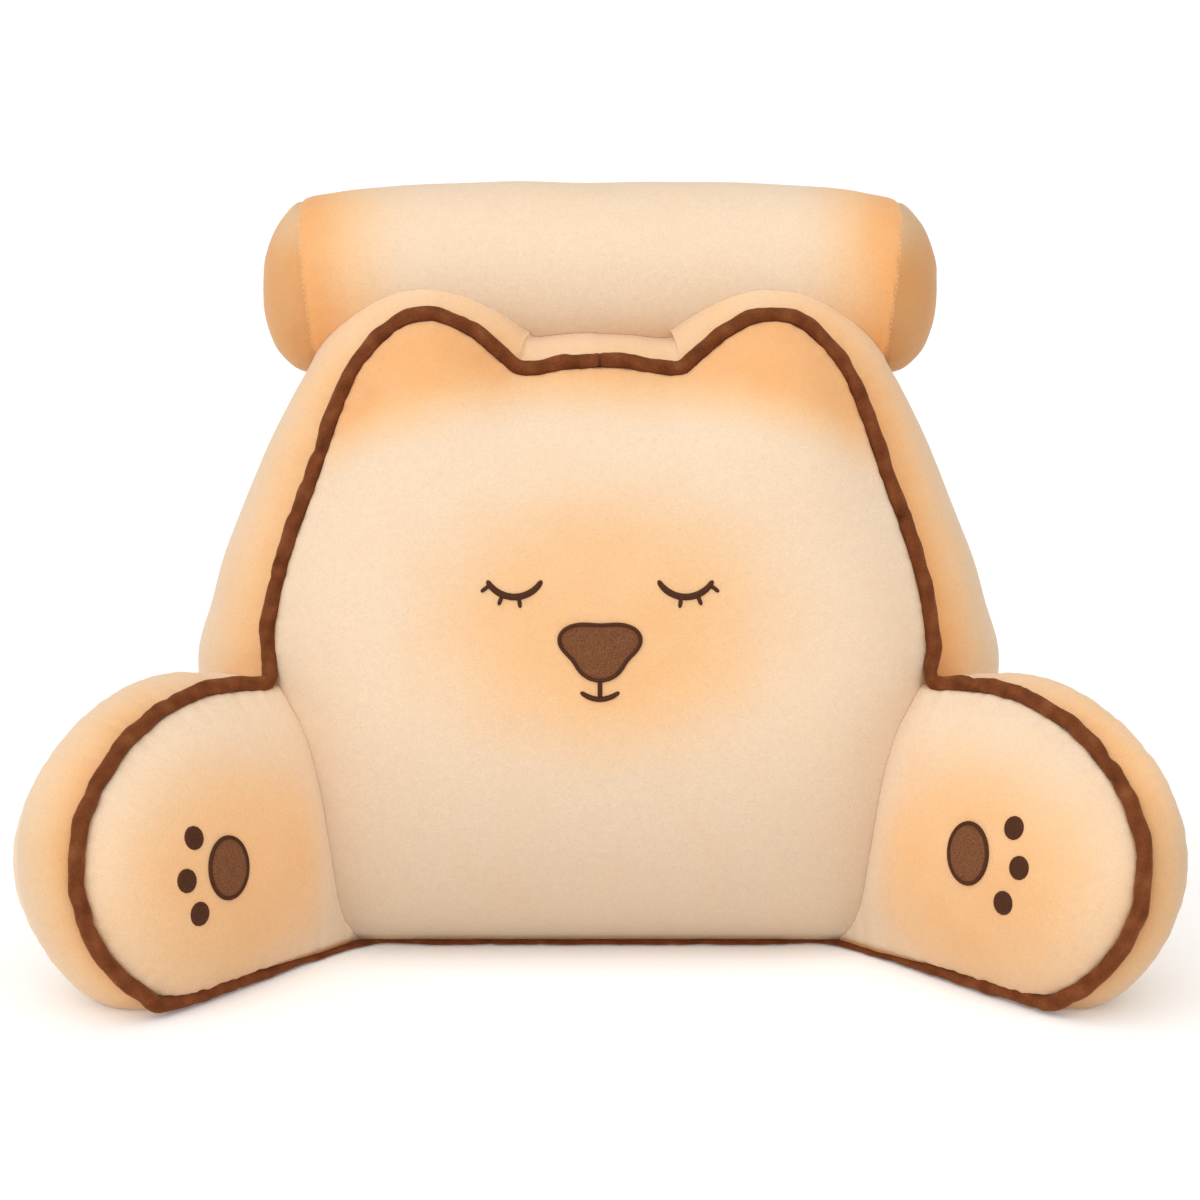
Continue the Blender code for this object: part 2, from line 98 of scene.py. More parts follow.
def add_node(tree, kind, settings=None, **links):
    """A node with its settings, and links or values for its inputs, named or numbered as i0, i1."""
    node = tree.nodes.new(kind)
    for name, value in (settings or {}).items():
        setattr(node, name, value)
    for name, value in links.items():
        socket = node.inputs[int(name[1:])] if name[1:].isdigit() else node.inputs[name.replace("_", " ")]
        if isinstance(value, bpy.types.NodeSocket):
            tree.links.new(value, socket)
        else:
            socket.default_value = value
    return node


def new_material(name, **settings):
    """A material whose shader has the given settings, and that shader."""
    material = bpy.data.materials.new(name)
    material.use_nodes = True
    shader = material.node_tree.nodes["Principled BSDF"]
    for socket, value in settings.items():
        shader.inputs[socket.replace("_", " ")].default_value = value
    return material, shader


key_light = bpy.data.lights.new("overhead_scrim", "SUN")
key_light.energy = KEY_STRENGTH
key_light.angle = KEY_SOFTNESS
new_object("overhead_scrim", key_light).rotation_euler = (math.pi / 2 - KEY_HEIGHT, 0, KEY_SIDE)

world = bpy.data.worlds.new("studio")
bpy.context.scene.world = world
world.use_nodes = True
room = world.node_tree
direction = add_node(room, "ShaderNodeTexCoord").outputs["Generated"]
upward = add_node(room, "ShaderNodeSeparateXYZ", Vector=direction).outputs["Z"]
brightness = add_node(
    room, "ShaderNodeMapRange", {"interpolation_type": "SMOOTHSTEP"}, i0=upward,
    i1=WALL_FOOT[0], i2=WALL_FOOT[1], i3=WALL_STRENGTH[0], i4=WALL_STRENGTH[1],
)
room.nodes["Background"].inputs["Color"].default_value = linear("FFFFFF")
room.links.new(brightness.outputs[0], room.nodes["Background"].inputs["Strength"])

sweep = bmesh.new()
bmesh.ops.create_grid(sweep, x_segments=1, y_segments=1, size=FLOOR_SIZE / 2)
floor_mesh = bpy.data.meshes.new("floor")
sweep.to_mesh(floor_mesh)
sweep.free()
floor = new_object("floor", floor_mesh)

# Matt paper is as bright from every side, and it glows a little, so that it reads as white round the pillow.
paper, _ = new_material(
    "matt_white_paper", Base_Color=linear("FCFBFA"), Roughness=1.0, Emission_Color=linear("FFFFFF"),
    Emission_Strength=PAPER_GLOW,
)
floor_mesh.materials.append(paper)

# ---------------------------------------------------------------- cutting pattern
# The front is one back panel with two ears and two arm panels, cut flat. These are the seam lines of half of
# it. Along every one of them the panels are sewn to boxing strips, with the piping caught in between.
LEAN = math.radians(12)
BACK_SEAM_LIFT = 0.014
TUCK = (0.018, -0.0075)  # how far the foot of the front panel is drawn in under the pillow, and down
TUCK_REACH = 0.020
BACK_SIDE = [
    # height along the panel, half width
    (BACK_SEAM_LIFT, 0.1860), (0.026, 0.1945), (0.060, 0.2050), (0.120, 0.2150), (0.170, 0.2240),
    (0.205, 0.2325), (0.250, 0.2288), (0.290, 0.2182), (0.335, 0.2020), (0.380, 0.1862), (0.405, 0.1762),
]
BACK_TOP = [
    # half width, height along the panel
    (0.1762, 0.4050), (0.1680, 0.4190), (0.1557, 0.4332), (0.1400, 0.4460), (0.1273, 0.4497),
    (0.1140, 0.4495), (0.1008, 0.4445), (0.0870, 0.4360), (0.0730, 0.4240), (0.0585, 0.4125),
    (0.0440, 0.4125), (0.0220, 0.4162), (0.0000, 0.4172),
]
ARM_ROOT = np.array((0.188, 0.0, 0.0))  # where an arm's inner panel meets the back, at the floor
ARM_ROOT_SLOPE = np.array((0.197, 0.215, 1.0))
ARM_SOLE = [
    # along, height
    (-0.060, 0.006), (0.050, 0.006), (0.135, 0.006), (0.158, 0.0110),
]
ARM_TIP = [
    # along, height
    (0.158, 0.0110), (0.1740, 0.0200), (0.1880, 0.0330), (0.2000, 0.0500), (0.2072, 0.0680),
    (0.2105, 0.0880), (0.2068, 0.1120), (0.1950, 0.1345), (0.1765, 0.1550), (0.1475, 0.1748),
]
ARM_TOP = [
    # along, height
    (-0.060, 0.1800), (0.000, 0.1875), (0.039, 0.1912), (0.0764, 0.1935), (0.1125, 0.1880),
    (0.1475, 0.1748),
]


def length_of(line):
    return np.sum(np.linalg.norm(np.diff(line, axis=0), axis=1))


def even_line(line, count):
    """A line's points, spaced evenly along it."""
    walked = np.r_[0, np.cumsum(np.linalg.norm(np.diff(line, axis=0), axis=1))]
    steps = np.linspace(0, walked[-1], count)
    return np.stack([np.interp(steps, walked, column) for column in line.T], 1)


def smooth_line(points, count=300):
    """Even points of a smooth curve through the given ones."""
    points = np.array(points, float)
    knots = np.vstack([2 * points[0] - points[1], points, 2 * points[-1] - points[-2]])
    t = np.linspace(0, 1, 24, endpoint=False)[:, None]
    spans = []
    for p0, p1, p2, p3 in zip(knots, knots[1:], knots[2:], knots[3:]):
        bend = 2 * p0 - 5 * p1 + 4 * p2 - p3 + t * (3 * (p1 - p2) + p3 - p0)
        spans.append(p1 + 0.5 * t * (p2 - p0 + t * bend))
    return even_line(np.vstack(spans + [points[-1:]]), count)


def on_line(line, share):
    """Points of an even line at shares of its length."""
    steps = np.linspace(0, 1, len(line))
    return np.stack([np.interp(share, steps, column) for column in line.T], -1)


def beside_line(line, share):
    """Unit normals on the left of an even flat line."""
    along = on_line(line, np.minimum(share + 0.01, 1)) - on_line(line, np.maximum(share - 0.01, 0))
    normal = np.stack([-along[..., 1], along[..., 0]], -1)
    return normal / np.linalg.norm(normal, axis=-1, keepdims=True)


def off_line(line, share, out):
    """Points that lie out to the left of an even flat line."""
    return on_line(line, share) + beside_line(line, share) * out


back_right = smooth_line(BACK_SIDE)[:, ::-1]
back_left = back_right * (-1, 1)
half_top = smooth_line(BACK_TOP)
back_top = even_line(np.vstack([half_top * (-1, 1), half_top[-2::-1]]), 600)
back_floor = np.linspace(back_left[0], back_right[0], 50)
back_seam = np.vstack([back_left[::4], back_top[4::4], back_right[-5::-4]])

arm_sole, arm_tip, arm_top = smooth_line(ARM_SOLE), smooth_line(ARM_TIP), smooth_line(ARM_TOP)
arm_root = np.linspace(arm_sole[0], arm_top[0], 50)
arm_seam = np.vstack([arm_sole[::8], arm_tip[4::4], arm_top[-5::-4]])


def back_front(flat, rise=0.0):
    """Places of points of the back's flat front panel, with a rise over it, its foot tucked in under it."""
    up = flat[..., 1]
    tuck = np.exp(-np.maximum(up - BACK_SEAM_LIFT, 0) / TUCK_REACH)
    back = up * math.sin(LEAN) - rise * math.cos(LEAN) + TUCK[0] * tuck
    over = up * math.cos(LEAN) + rise * math.sin(LEAN) + TUCK[1] * tuck
    return np.stack([flat[..., 0], back, over], -1)


class ArmPattern:
    """Directions of one arm: along it, outward through it and up its panel."""

    def __init__(self, side, turn, stretch, strip):
        self.side = np.array((side, 1, 1))
        self.direction = np.array((math.cos(turn), -math.sin(turn), 0)) * self.side
        self.outward = np.array((math.sin(turn), math.cos(turn), 0)) * self.side
        self.slope = ARM_ROOT_SLOPE * self.side
        self.up = self.slope / np.linalg.norm(self.slope)
        inward = np.cross(self.direction, self.up) * side
        self.inward = inward / np.linalg.norm(inward)
        self.stretch = stretch
        self.strip = strip

    def inner_seam(self, flat):
        """Places of points of the flat inner panel."""
        along, up = flat[..., :1] * self.stretch, flat[..., 1:]
        return ARM_ROOT * self.side + self.direction * along + self.slope * up


ARMS = {
    # the two are turned and stuffed a little differently; strip is the boxing strip's width, low and high
    "right": ArmPattern(side=1, turn=math.radians(47.0), stretch=1.03, strip=(0.051, 0.041)),
    "left": ArmPattern(side=-1, turn=math.radians(50.5), stretch=1.00, strip=(0.066, 0.055)),
}

# ---------------------------------------------------------------- plush cloth
# The cover is polyester velour with a pile of about 1.5 mm, cream, and sprayed with orange dye after sewing.
# The pile lies this way and that, which shows as a fine mottled grain, and its tips catch light at the edges.
CREAM_TO_SPRAY = [(0.0, "EBD1B4"), (0.6, "EEC08F"), (1.0, "EBA96A")]  # by how strongly it is sprayed
CREAM_TIPS = "FFF3E4"
PILE_GRAIN = 0.0013  # tufts, 0.4 mm apart in the cloth, drawn as coarse as they need to show
PILE_MOTTLE = 0.0045
PILE_STROKE = 0.045  # patches where the pile was stroked one way
PILE_DEPTH = 0.0007
DYE_DRIFT = 0.06  # how unevenly the dye lies, from patch to patch and from tuft to tuft
DYE_SPECK = 0.035


def plush(name, stops, contrast, tips):
    """Short pile velour: its colour follows the dye attribute through the stops, and its tips are paler.

    The nap attribute darkens the colour by its share: painted shade where less light falls on the cloth.
    """
    material, shader = new_material(
        name, Roughness=0.95, Sheen_Weight=0.30, Sheen_Roughness=0.45, Sheen_Tint=linear(tips),
        Specular_IOR_Level=0.15,
    )
    tree = material.node_tree
    place = add_node(tree, "ShaderNodeTexCoord").outputs["Object"]
    dye, nap = (
        add_node(tree, "ShaderNodeAttribute", {"attribute_name": layer}).outputs["Fac"]
        for layer in ("dye", "nap")
    )
    grain, mottle, stroke = (
        add_node(
            tree, "ShaderNodeTexNoise", Vector=place, Scale=1 / size, Detail=detail, Roughness=rough,
            Distortion=bend,
        ).outputs["Fac"]
        for size, detail, rough, bend in (
            (PILE_GRAIN, 2.0, 0.6, 0.0), (PILE_MOTTLE, 4.0, 0.65, 0.6), (PILE_STROKE, 3.0, 0.55, 0.0)
        )
    )
    drift, speck, fine, coarse = (
        add_node(tree, "ShaderNodeMapRange", i0=noise, i1=low, i2=high, i3=least, i4=most).outputs[0]
        for noise, low, high, least, most in (
            (stroke, 0.3, 0.7, -DYE_DRIFT, DYE_DRIFT),
            (mottle, 0.3, 0.7, -DYE_SPECK, DYE_SPECK),
            (grain, 0.25, 0.75, 1 - contrast, 1 + 0.6 * contrast),
            (mottle, 0.3, 0.7, 1 - 0.5 * contrast, 1 + 0.4 * contrast),
        )
    )
    spread = add_node(tree, "ShaderNodeMath", {"operation": "ADD"}, i0=drift, i1=speck).outputs[0]
    level = add_node(tree, "ShaderNodeMath", {"operation": "ADD"}, i0=dye, i1=spread).outputs[0]
    ramp = add_node(tree, "ShaderNodeValToRGB", Fac=level)
    elements = ramp.color_ramp.elements
    while len(elements) < len(stops):
        elements.new(0.5)
    for element, (position, colour) in zip(elements, stops):
        element.position = position
        element.color = linear(colour)
    # painted shade: upright is the share of the colour left after the nap attribute darkens it
    upright = add_node(tree, "ShaderNodeMath", {"operation": "SUBTRACT"}, i0=1.0, i1=nap).outputs[0]
    pile = add_node(tree, "ShaderNodeMath", {"operation": "MULTIPLY"}, i0=fine, i1=coarse).outputs[0]
    shade = add_node(tree, "ShaderNodeMath", {"operation": "MULTIPLY"}, i0=pile, i1=upright).outputs[0]
    shaded = add_node(
        tree, "ShaderNodeVectorMath", {"operation": "SCALE"}, i0=ramp.outputs["Color"], Scale=shade
    ).outputs[0]
    tree.links.new(shaded, shader.inputs["Base Color"])
    height = add_node(
        tree, "ShaderNodeMath", {"operation": "MULTIPLY_ADD"}, i0=mottle, i1=0.8, i2=grain
    ).outputs[0]
    bump = add_node(tree, "ShaderNodeBump", Height=height, Strength=0.5, Distance=PILE_DEPTH)
    tree.links.new(bump.outputs["Normal"], shader.inputs["Normal"])
    return material


cream_plush = plush("cream_velour_sprayed_orange", CREAM_TO_SPRAY, contrast=0.07, tips=CREAM_TIPS)

# ---------------------------------------------------------------- piping
# A cord of 11 mm in a brown velour sleeve, one length, joined in the middle of the notch. It is caught in the
# front seam all round, so it sits just outside and in front of it, and it wrinkles where the seam turns.
PIPE_RADIUS = 0.0055
PIPE_OUT = 0.0034
PIPE_FORWARD = 0.0026
PIPE_FLOOR_CLEARANCE = 0.0012
PIPE_STEP = 0.0022
PIPE_SIDES = 14
PIPE_BROWNS = [(0.0, "54290F"), (0.6, "763F20"), (1.0, "87512F")]  # from the folds, darkest as painted shade, to the crests
PIPE_TIPS = "DFA271"
PIPE_PRESSED = 0.30  # share of its thickness that is left along the floor line, under the pillow
PIPE_PRESSED_HALF = (0.185, 0.270)  # half of the stretch that is pressed, in full and at all
PIPE_PRESSED_BACK = 0.0070  # how far back it is drawn there
PIPE_FOLDS = 72  # where the sewing pinches the sleeve
PIPE_FOLD_SLANT = 0.004
PIPE_FOLD_WIDTH = 0.0030
PIPE_FOLD_DEPTH = (0.06, 0.20)  # share of the radius
PIPE_JOIN_WIDTH = 0.0016


def piping_half(arm):
    """Points of the piping's axis on an arm's side, from the middle of the floor line to the notch."""
    lowest = PIPE_RADIUS + PIPE_FLOOR_CLEARANCE
    lifted = arm.inward * PIPE_FORWARD
    forward = np.array((0.0, -math.cos(LEAN), math.sin(LEAN))) * PIPE_FORWARD
    floor_line = np.array([(x, TUCK[0] - PIPE_FORWARD, lowest) for x in (0.0, 0.06, 0.12, 0.165)])
    sole = arm.inner_seam(on_line(arm_sole, np.array((0.42, 0.60, 0.80)))) + lifted
    sole[:, 2] = lowest
    tip = arm.inner_seam(off_line(arm_tip, np.arange(12) / 12, -PIPE_OUT)) + lifted
    top = arm.inner_seam(off_line(arm_top, np.array((1.0, 0.82, 0.65, 0.48, 0.36)), PIPE_OUT)) + lifted
    side = back_front(off_line(back_right, np.linspace(0.53, 1.0, 8, endpoint=False), -PIPE_OUT)) + forward
    over = back_front(off_line(back_top, np.linspace(1.0, 0.5, 25), PIPE_OUT)) + forward
    over[-1, 0] = 0.0
    half = np.vstack([floor_line * arm.side, sole, tip, top, side * arm.side, over * arm.side])
    half[:, 2] = np.maximum(half[:, 2], lowest)
    return half


piping_right, piping_left = piping_half(ARMS["right"]), piping_half(ARMS["left"])
piping_axis = smooth_line(np.vstack([piping_right, piping_left[-2::-1]]), 4000)
piping_length = length_of(piping_axis)


def wander(at, scale, seed):
    """Smooth wavering between about -1 and 1 along a length, with waves of about the given scale."""
    waves = random.Random(seed)
    value = np.zeros(np.shape(at))
    for stretch in (1.0, 0.73, 0.49, 1.61):
        value += np.sin(np.asarray(at) / (scale * stretch) * math.tau + waves.uniform(0, math.tau)) / 2.4
    return value


def ring(steps, sides):
    """A closed tube as a bmesh, with each point's share round the ring and its angle round the tube."""
    tube = bmesh.new()
    upright = Matrix.Rotation(math.pi / 2, 4, "X")
    circle = bmesh.ops.create_circle(tube, segments=sides, radius=0.25, matrix=upright)
    bmesh.ops.translate(tube, verts=circle["verts"], vec=(1, 0, 0))
    bmesh.ops.spin(
        tube, geom=tube.verts[:] + tube.edges[:], cent=(0, 0, 0), axis=(0, 0, 1), angle=math.tau, steps=steps,
        use_merge=True,
    )
    places = np.array([vert.co for vert in tube.verts])
    share = np.arctan2(places[:, 1], places[:, 0]) / math.tau % 1.0
    share[share > 1 - 0.5 / steps] = 0
    angle = np.arctan2(places[:, 2], np.hypot(places[:, 0], places[:, 1]) - 1)
    return tube, share, angle


def new_piece(name, shape, places, material):
    """An object of the bmesh with its points moved to their places in the draft."""
    for vert, place in zip(shape.verts, places):
        vert.co = Vector(place) + DRAFT
    bmesh.ops.recalc_face_normals(shape, faces=shape.faces)
    if shape.calc_volume(signed=True) < 0:
        bmesh.ops.reverse_faces(shape, faces=shape.faces)
    mesh = bpy.data.meshes.new(name)
    shape.to_mesh(mesh)
    shape.free()
    mesh.shade_smooth()
    mesh.materials.append(material)
    return new_object(name, mesh)


def sew_on(item, stands_for=None):
    """Fixes a piece to the pillow, in place of a solid where it stands for one."""
    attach(item, "root")
    if stands_for:
        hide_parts(stands_for)


def write_layers(mesh, **layers):
    """Stores how strongly each point is sprayed, and how much painted shade darkens it, from 0 to 1."""
    for name, values in layers.items():
        layer = mesh.attributes.new(name, "FLOAT", "POINT")
        layer.data.foreach_set("value", np.clip(values, 0, 1).astype(np.float32))


def smooth_step(value, low, high):
    """0 below low, 1 above high, and a soft step between."""
    t = np.clip((value - low) / (high - low), 0, 1)
    return t * t * (3 - 2 * t)


def pressed(places):
    """1 on the stretch of the piping that the pillow stands on, 0 elsewhere, with a slow change between."""
    return (1 - smooth_step(np.abs(places[:, 0]), *PIPE_PRESSED_HALF)) * (places[:, 2] < 0.1)


def loop_frame(axis, share, facing):
    """Places along a closed line, and two directions square to it: outward, and the one nearest to facing."""
    along = on_line(axis, (share + 0.0012) % 1.0) - on_line(axis, (share - 0.0012) % 1.0)
    outward = np.cross(along, facing)
    outward /= np.linalg.norm(outward, axis=1, keepdims=True)
    front = np.cross(outward, along)
    return on_line(axis, share), outward, front / np.linalg.norm(front, axis=1, keepdims=True)


def nearest_among(places):
    """A tree that finds the nearest of the places."""
    tree = KDTree(len(places))
    for index, place in enumerate(places):
        tree.insert(place, index)
    tree.balance()
    return tree


# The same velour in brown. Stretched over the cord, its pile stands apart, so its grain shows more.
brown_plush = plush("brown_velour_sleeve", PIPE_BROWNS, contrast=0.22, tips=PIPE_TIPS)

piping_steps = round(piping_length / PIPE_STEP)
piping_tube, share, angle = ring(piping_steps, PIPE_SIDES)
centre, outward, front = loop_frame(piping_axis, share, np.array((0.0, -1.0, 0.35)))
walked = share * piping_length
notch = np.argmin(np.abs(piping_axis[:, 0]) + (piping_axis[:, 2] < 0.3)) / (len(piping_axis) - 1)
to_join = np.abs(share - notch) * piping_length
thick = 1 + 0.035 * wander(walked, 0.042, 3) + 0.015 * wander(walked, 0.017, 5)
thick -= 0.16 * np.exp(-((to_join / PIPE_JOIN_WIDTH) ** 2))
folds = random.Random(29)
fold = np.zeros(len(walked))
for _ in range(PIPE_FOLDS):
    place, slant = folds.uniform(0, piping_length), folds.uniform(-PIPE_FOLD_SLANT, PIPE_FOLD_SLANT)
    side = folds.uniform(0, math.tau)
    beside = walked - place + slant * np.sin(angle + side)
    pinch = folds.uniform(*PIPE_FOLD_DEPTH) * (0.65 + 0.35 * np.cos(angle - side))
    fold += pinch * np.exp(-((beside / PIPE_FOLD_WIDTH) ** 2))
thick -= fold
wrinkle = 0.014 * wander(walked + 0.0016 * np.sin(angle * 2), 0.0095, 7)
radius = PIPE_RADIUS * (thick + wrinkle)
turn = angle + 0.6 * wander(walked, 0.08, 11)
sway = 0.0007 * wander(walked, 0.050, 13)
places = centre + outward * (np.cos(turn) * radius * 1.02 + sway)[:, None]
places += front * (np.sin(turn) * radius * 0.97)[:, None]
flattened = pressed(centre)
places[:, 2] *= 1 - (1 - PIPE_PRESSED) * flattened
places[:, 1] += PIPE_PRESSED_BACK * flattened
places[:, 2] = np.maximum(places[:, 2], 0.0004)
piping = new_piece("piping_sleeve", piping_tube, places, brown_plush)
# Painted shade: the tone drops where the sewing pinches the sleeve into folds.
piping_tone_and_fold_shade = 0.55 + 0.16 * wander(walked, 0.03, 17) + 0.10 * np.cos(turn * 3 + walked / 0.006) - 1.4 * fold
write_layers(piping.data, dye=piping_tone_and_fold_shade - 0.5 * np.exp(-((to_join / 0.0012) ** 2)))
sew_on(piping, "piping")

axis_pressed = pressed(piping_axis)
piping_tree = nearest_among([Vector(place) + DRAFT for place in piping_axis])

# ---------------------------------------------------------------- neck roll
# A bolster of 137 mm with two round end caps sewn in, firmly filled. Its ends hang down a little, and the cap
# seams lean inward toward the front. It is sprayed on the caps and beside their seams.
# Its underside gets more of the orange, partly as painted shade, and painted shade darkens its caps, the
# right one more.
ROLL_CENTRE_Z = 0.462
ROLL_DROOP = 0.009
ROLL_SAG = 0.006  # how much lower the filling hangs under the ends
ROLL_SAG_ALONG = (0.11, 0.21)  # from the middle, where it starts and is full
ROLL_SIDES = 84
ROLL_STATIONS = 124
ROLL_GIRTH = 0.066  # radius that the waves round it are measured at
ROLL_SEAM = 0.2125
ROLL_SEAM_LEAN = 0.0065
ROLL_SEAM_HELD = 0.0045
ROLL_GROOVE = (0.0011, 0.0017)  # depth and width of the groove along a cap seam
ROLL_SPRAY_REACH = 0.092
ROLL_CAP_PAINTED_SHADE = (0.16, 0.28)  # painted shade on the left cap and on the right one, which is turned from the light
COVER_START = 0.6  # how much a cover is drawn in before it is filled, as a share of how far it may swell
COVER_FRAMES = 20
COVER_SPREAD = 24  # how often a movement is shared with the points around it
COVER_HELD = 0.014  # how far beside its seams a cover is still held by them
ROLL_PROFILE = [
    # distance from the middle, radius
    (0.0000, 0.0692), (0.0600, 0.0690), (0.1100, 0.0684), (0.1500, 0.0674), (0.1850, 0.0657),
    (0.2050, 0.0634), (0.2180, 0.0606), (0.2255, 0.0574), (0.2325, 0.0512), (0.2390, 0.0435),
    (0.2440, 0.0325), (0.2480, 0.0190), (0.2500, 0.0000),
]


def mesh_points(mesh, what="co"):
    """The place of each of the mesh's points, or its normal."""
    values = np.empty(len(mesh.vertices) * 3, np.float32)
    mesh.vertices.foreach_get(what, values)
    return values.reshape(-1, 3).astype(float)


def set_places(mesh, places):
    mesh.vertices.foreach_set("co", np.asarray(places, np.float32).ravel())
    mesh.update()


def spread_out(mesh, values, rounds):
    """Evens out values over the mesh, each time halfway toward the mean of a point's neighbours."""
    ends = np.empty(len(mesh.edges) * 2, np.int32)
    mesh.edges.foreach_get("vertices", ends)
    one, other = ends.reshape(-1, 2).T
    to, source = np.r_[one, other], np.r_[other, one]
    count = np.bincount(to, minlength=len(values))[:, None]
    for _ in range(rounds):
        columns = [np.bincount(to, weights=column[source], minlength=len(values)) for column in values.T]
        values = (values + np.stack(columns, 1) / count) / 2
    return values


def fill_cover(item, sewn, pressure, slack, most):
    """Fills the cover with air pressure: it stays where it is sewn and settles by up to the given distance.

    It starts a little too small, because it swells, and the cloth's stiffness spreads each movement out.
    """
    before = mesh_points(item.data)
    stitches = np.nonzero(sewn)[0]
    tree = nearest_among(before[stitches])
    free = 1 - np.exp(-((np.array([tree.find(place)[2] for place in before]) / COVER_HELD) ** 2))[:, None]
    drawn_in = before - mesh_points(item.data, "normal") * most * COVER_START * free
    set_places(item.data, drawn_in)
    group = item.vertex_groups.new(name="sewn")
    group.add([int(index) for index in stitches], 1.0, "REPLACE")
    cloth = item.modifiers.new("cover", "CLOTH")
    cloth.settings.quality = 5
    cloth.settings.mass = 0.3
    cloth.settings.use_pressure = True
    cloth.settings.uniform_pressure_force = pressure
    cloth.settings.vertex_group_mass = "sewn"
    cloth.settings.shrink_min = -slack
    cloth.settings.effector_weights.gravity = 0
    cloth.point_cache.frame_start = 1
    cloth.point_cache.frame_end = COVER_FRAMES
    for step in range(1, COVER_FRAMES + 1):
        bpy.context.scene.frame_set(step)
    view = bpy.context.evaluated_depsgraph_get()
    moved = mesh_points(item.evaluated_get(view).data) - drawn_in
    item.modifiers.remove(cloth)
    item.vertex_groups.remove(group)
    bpy.context.scene.frame_set(1)
    length = np.linalg.norm(moved, axis=1, keepdims=True)
    capped = moved * most * np.tanh(length / most) / np.maximum(length, 1e-9)
    set_places(item.data, drawn_in + spread_out(item.data, capped, COVER_SPREAD) * free)


def finish_modifiers(item):
    """Turns the modified shape into the item's own mesh."""
    view = bpy.context.evaluated_depsgraph_get()
    mesh = bpy.data.meshes.new_from_object(item.evaluated_get(view))
    item.modifiers.clear()
    item.data = mesh


def smooth_once(item):
    """One level of subdivision, made the item's own mesh."""
    finer = item.modifiers.new("finer", "SUBSURF")
    finer.levels = finer.render_levels = 1
    finish_modifiers(item)


def cut_by(item, tool):
    """Takes the other piece's shape away where it rests against this one."""
    step = item.modifiers.new("fit", "BOOLEAN")
    step.object = tool
    step.operation = "DIFFERENCE"
    step.solver = "MANIFOLD"
    finish_modifiers(item)


def copy_of(item, name, grow):
    """A copy that stands off the piece by a clearance, to cut its neighbours with."""
    mesh = item.data.copy()
    set_places(mesh, mesh_points(mesh) + mesh_points(mesh, "normal") * grow)
    return new_object(name, mesh)


def cap_seam(angle):
    """Distance of the cap seam from the roll's middle, by the angle up from the front."""
    return ROLL_SEAM + ROLL_SEAM_LEAN * np.sin(angle)


def roll_droop(along):
    """How far the roll hangs down at a distance from its middle."""
    return ROLL_DROOP * (along / ROLL_PROFILE[-1][0]) ** 4


half_profile = smooth_line(ROLL_PROFILE, ROLL_STATIONS // 2)
profile = np.vstack([half_profile[:0:-1] * (-1, 1), half_profile])
roll_shape = bmesh.new()
profile_verts = [roll_shape.verts.new((x, 0, r)) for x, r in profile]
profile_edges = [roll_shape.edges.new(pair) for pair in zip(profile_verts, profile_verts[1:])]
bmesh.ops.spin(
    roll_shape, geom=profile_verts + profile_edges, cent=(0, 0, 0), axis=(1, 0, 0), angle=math.tau,
    steps=ROLL_SIDES, use_merge=True,
)
bmesh.ops.remove_doubles(roll_shape, verts=roll_shape.verts, dist=1e-6)
turned = np.array([vert.co for vert in roll_shape.verts])
sag = ROLL_SAG * smooth_step(np.abs(turned[:, 0]), *ROLL_SAG_ALONG)
sag *= np.clip(-turned[:, 2] / ROLL_PROFILE[0][1], 0, 1)
lift = ROLL_CENTRE_Z - roll_droop(turned[:, 0]) - sag
roll_places = turned + np.stack([0 * lift, 0 * lift + ROLL_CENTRE_Y, lift], 1)
roll = new_piece("neck_roll_plush", roll_shape, roll_places, cream_plush)
upward = np.arctan2(turned[:, 2], -turned[:, 1])
at_seam = np.abs(np.abs(turned[:, 0]) - cap_seam(upward)) < ROLL_SEAM_HELD
fill_cover(roll, at_seam, pressure=2.0, slack=0.01, most=0.002)
smooth_once(roll)

places, normals = mesh_points(roll.data), mesh_points(roll.data, "normal")
local = places - np.array(DRAFT)
upward = np.arctan2(local[:, 2] - ROLL_CENTRE_Z, -(local[:, 1] - ROLL_CENTRE_Y))
beyond = np.abs(local[:, 0]) - cap_seam(upward)
groove = -ROLL_GROOVE[0] * np.exp(-((beyond / ROLL_GROOVE[1]) ** 2))
walk = upward * ROLL_GIRTH
pucker = 0.00045 * wander(walk, 0.017, 21) * np.abs(beyond / 0.005) * np.exp(-np.abs(beyond) / 0.006)
dent = 0.0006 * wander(local[:, 0] + 0.4 * walk, 0.16, 23) * wander(walk, 0.21, 25)
set_places(roll.data, places + normals * (groove + pucker + dent)[:, None])

inside = smooth_step(-beyond, 0.0, ROLL_SPRAY_REACH)
on_cap = smooth_step(beyond, -0.0008, 0.0008)
from_axis = np.hypot(local[:, 1] - ROLL_CENTRE_Y, local[:, 2] - ROLL_CENTRE_Z)
cap_tone = 0.95 - 0.55 * smooth_step(np.sin(upward), 0.15, 1.0) * smooth_step(from_axis, 0.03, 0.06)
# Partly spray, partly painted shade: the lower half of the roll gets 0.10 more of the orange.
side_tone = 0.94 * (1 - inside) ** 1.2 + 0.10 * smooth_step(-np.sin(upward), 0.1, 1.0)
roll_dye_and_shade = (1 - on_cap) * side_tone + on_cap * cap_tone
roll_nap = on_cap * np.where(local[:, 0] > 0, ROLL_CAP_PAINTED_SHADE[1], ROLL_CAP_PAINTED_SHADE[0])
write_layers(roll.data, dye=roll_dye_and_shade, nap=roll_nap)
sew_on(roll, "neck_roll")
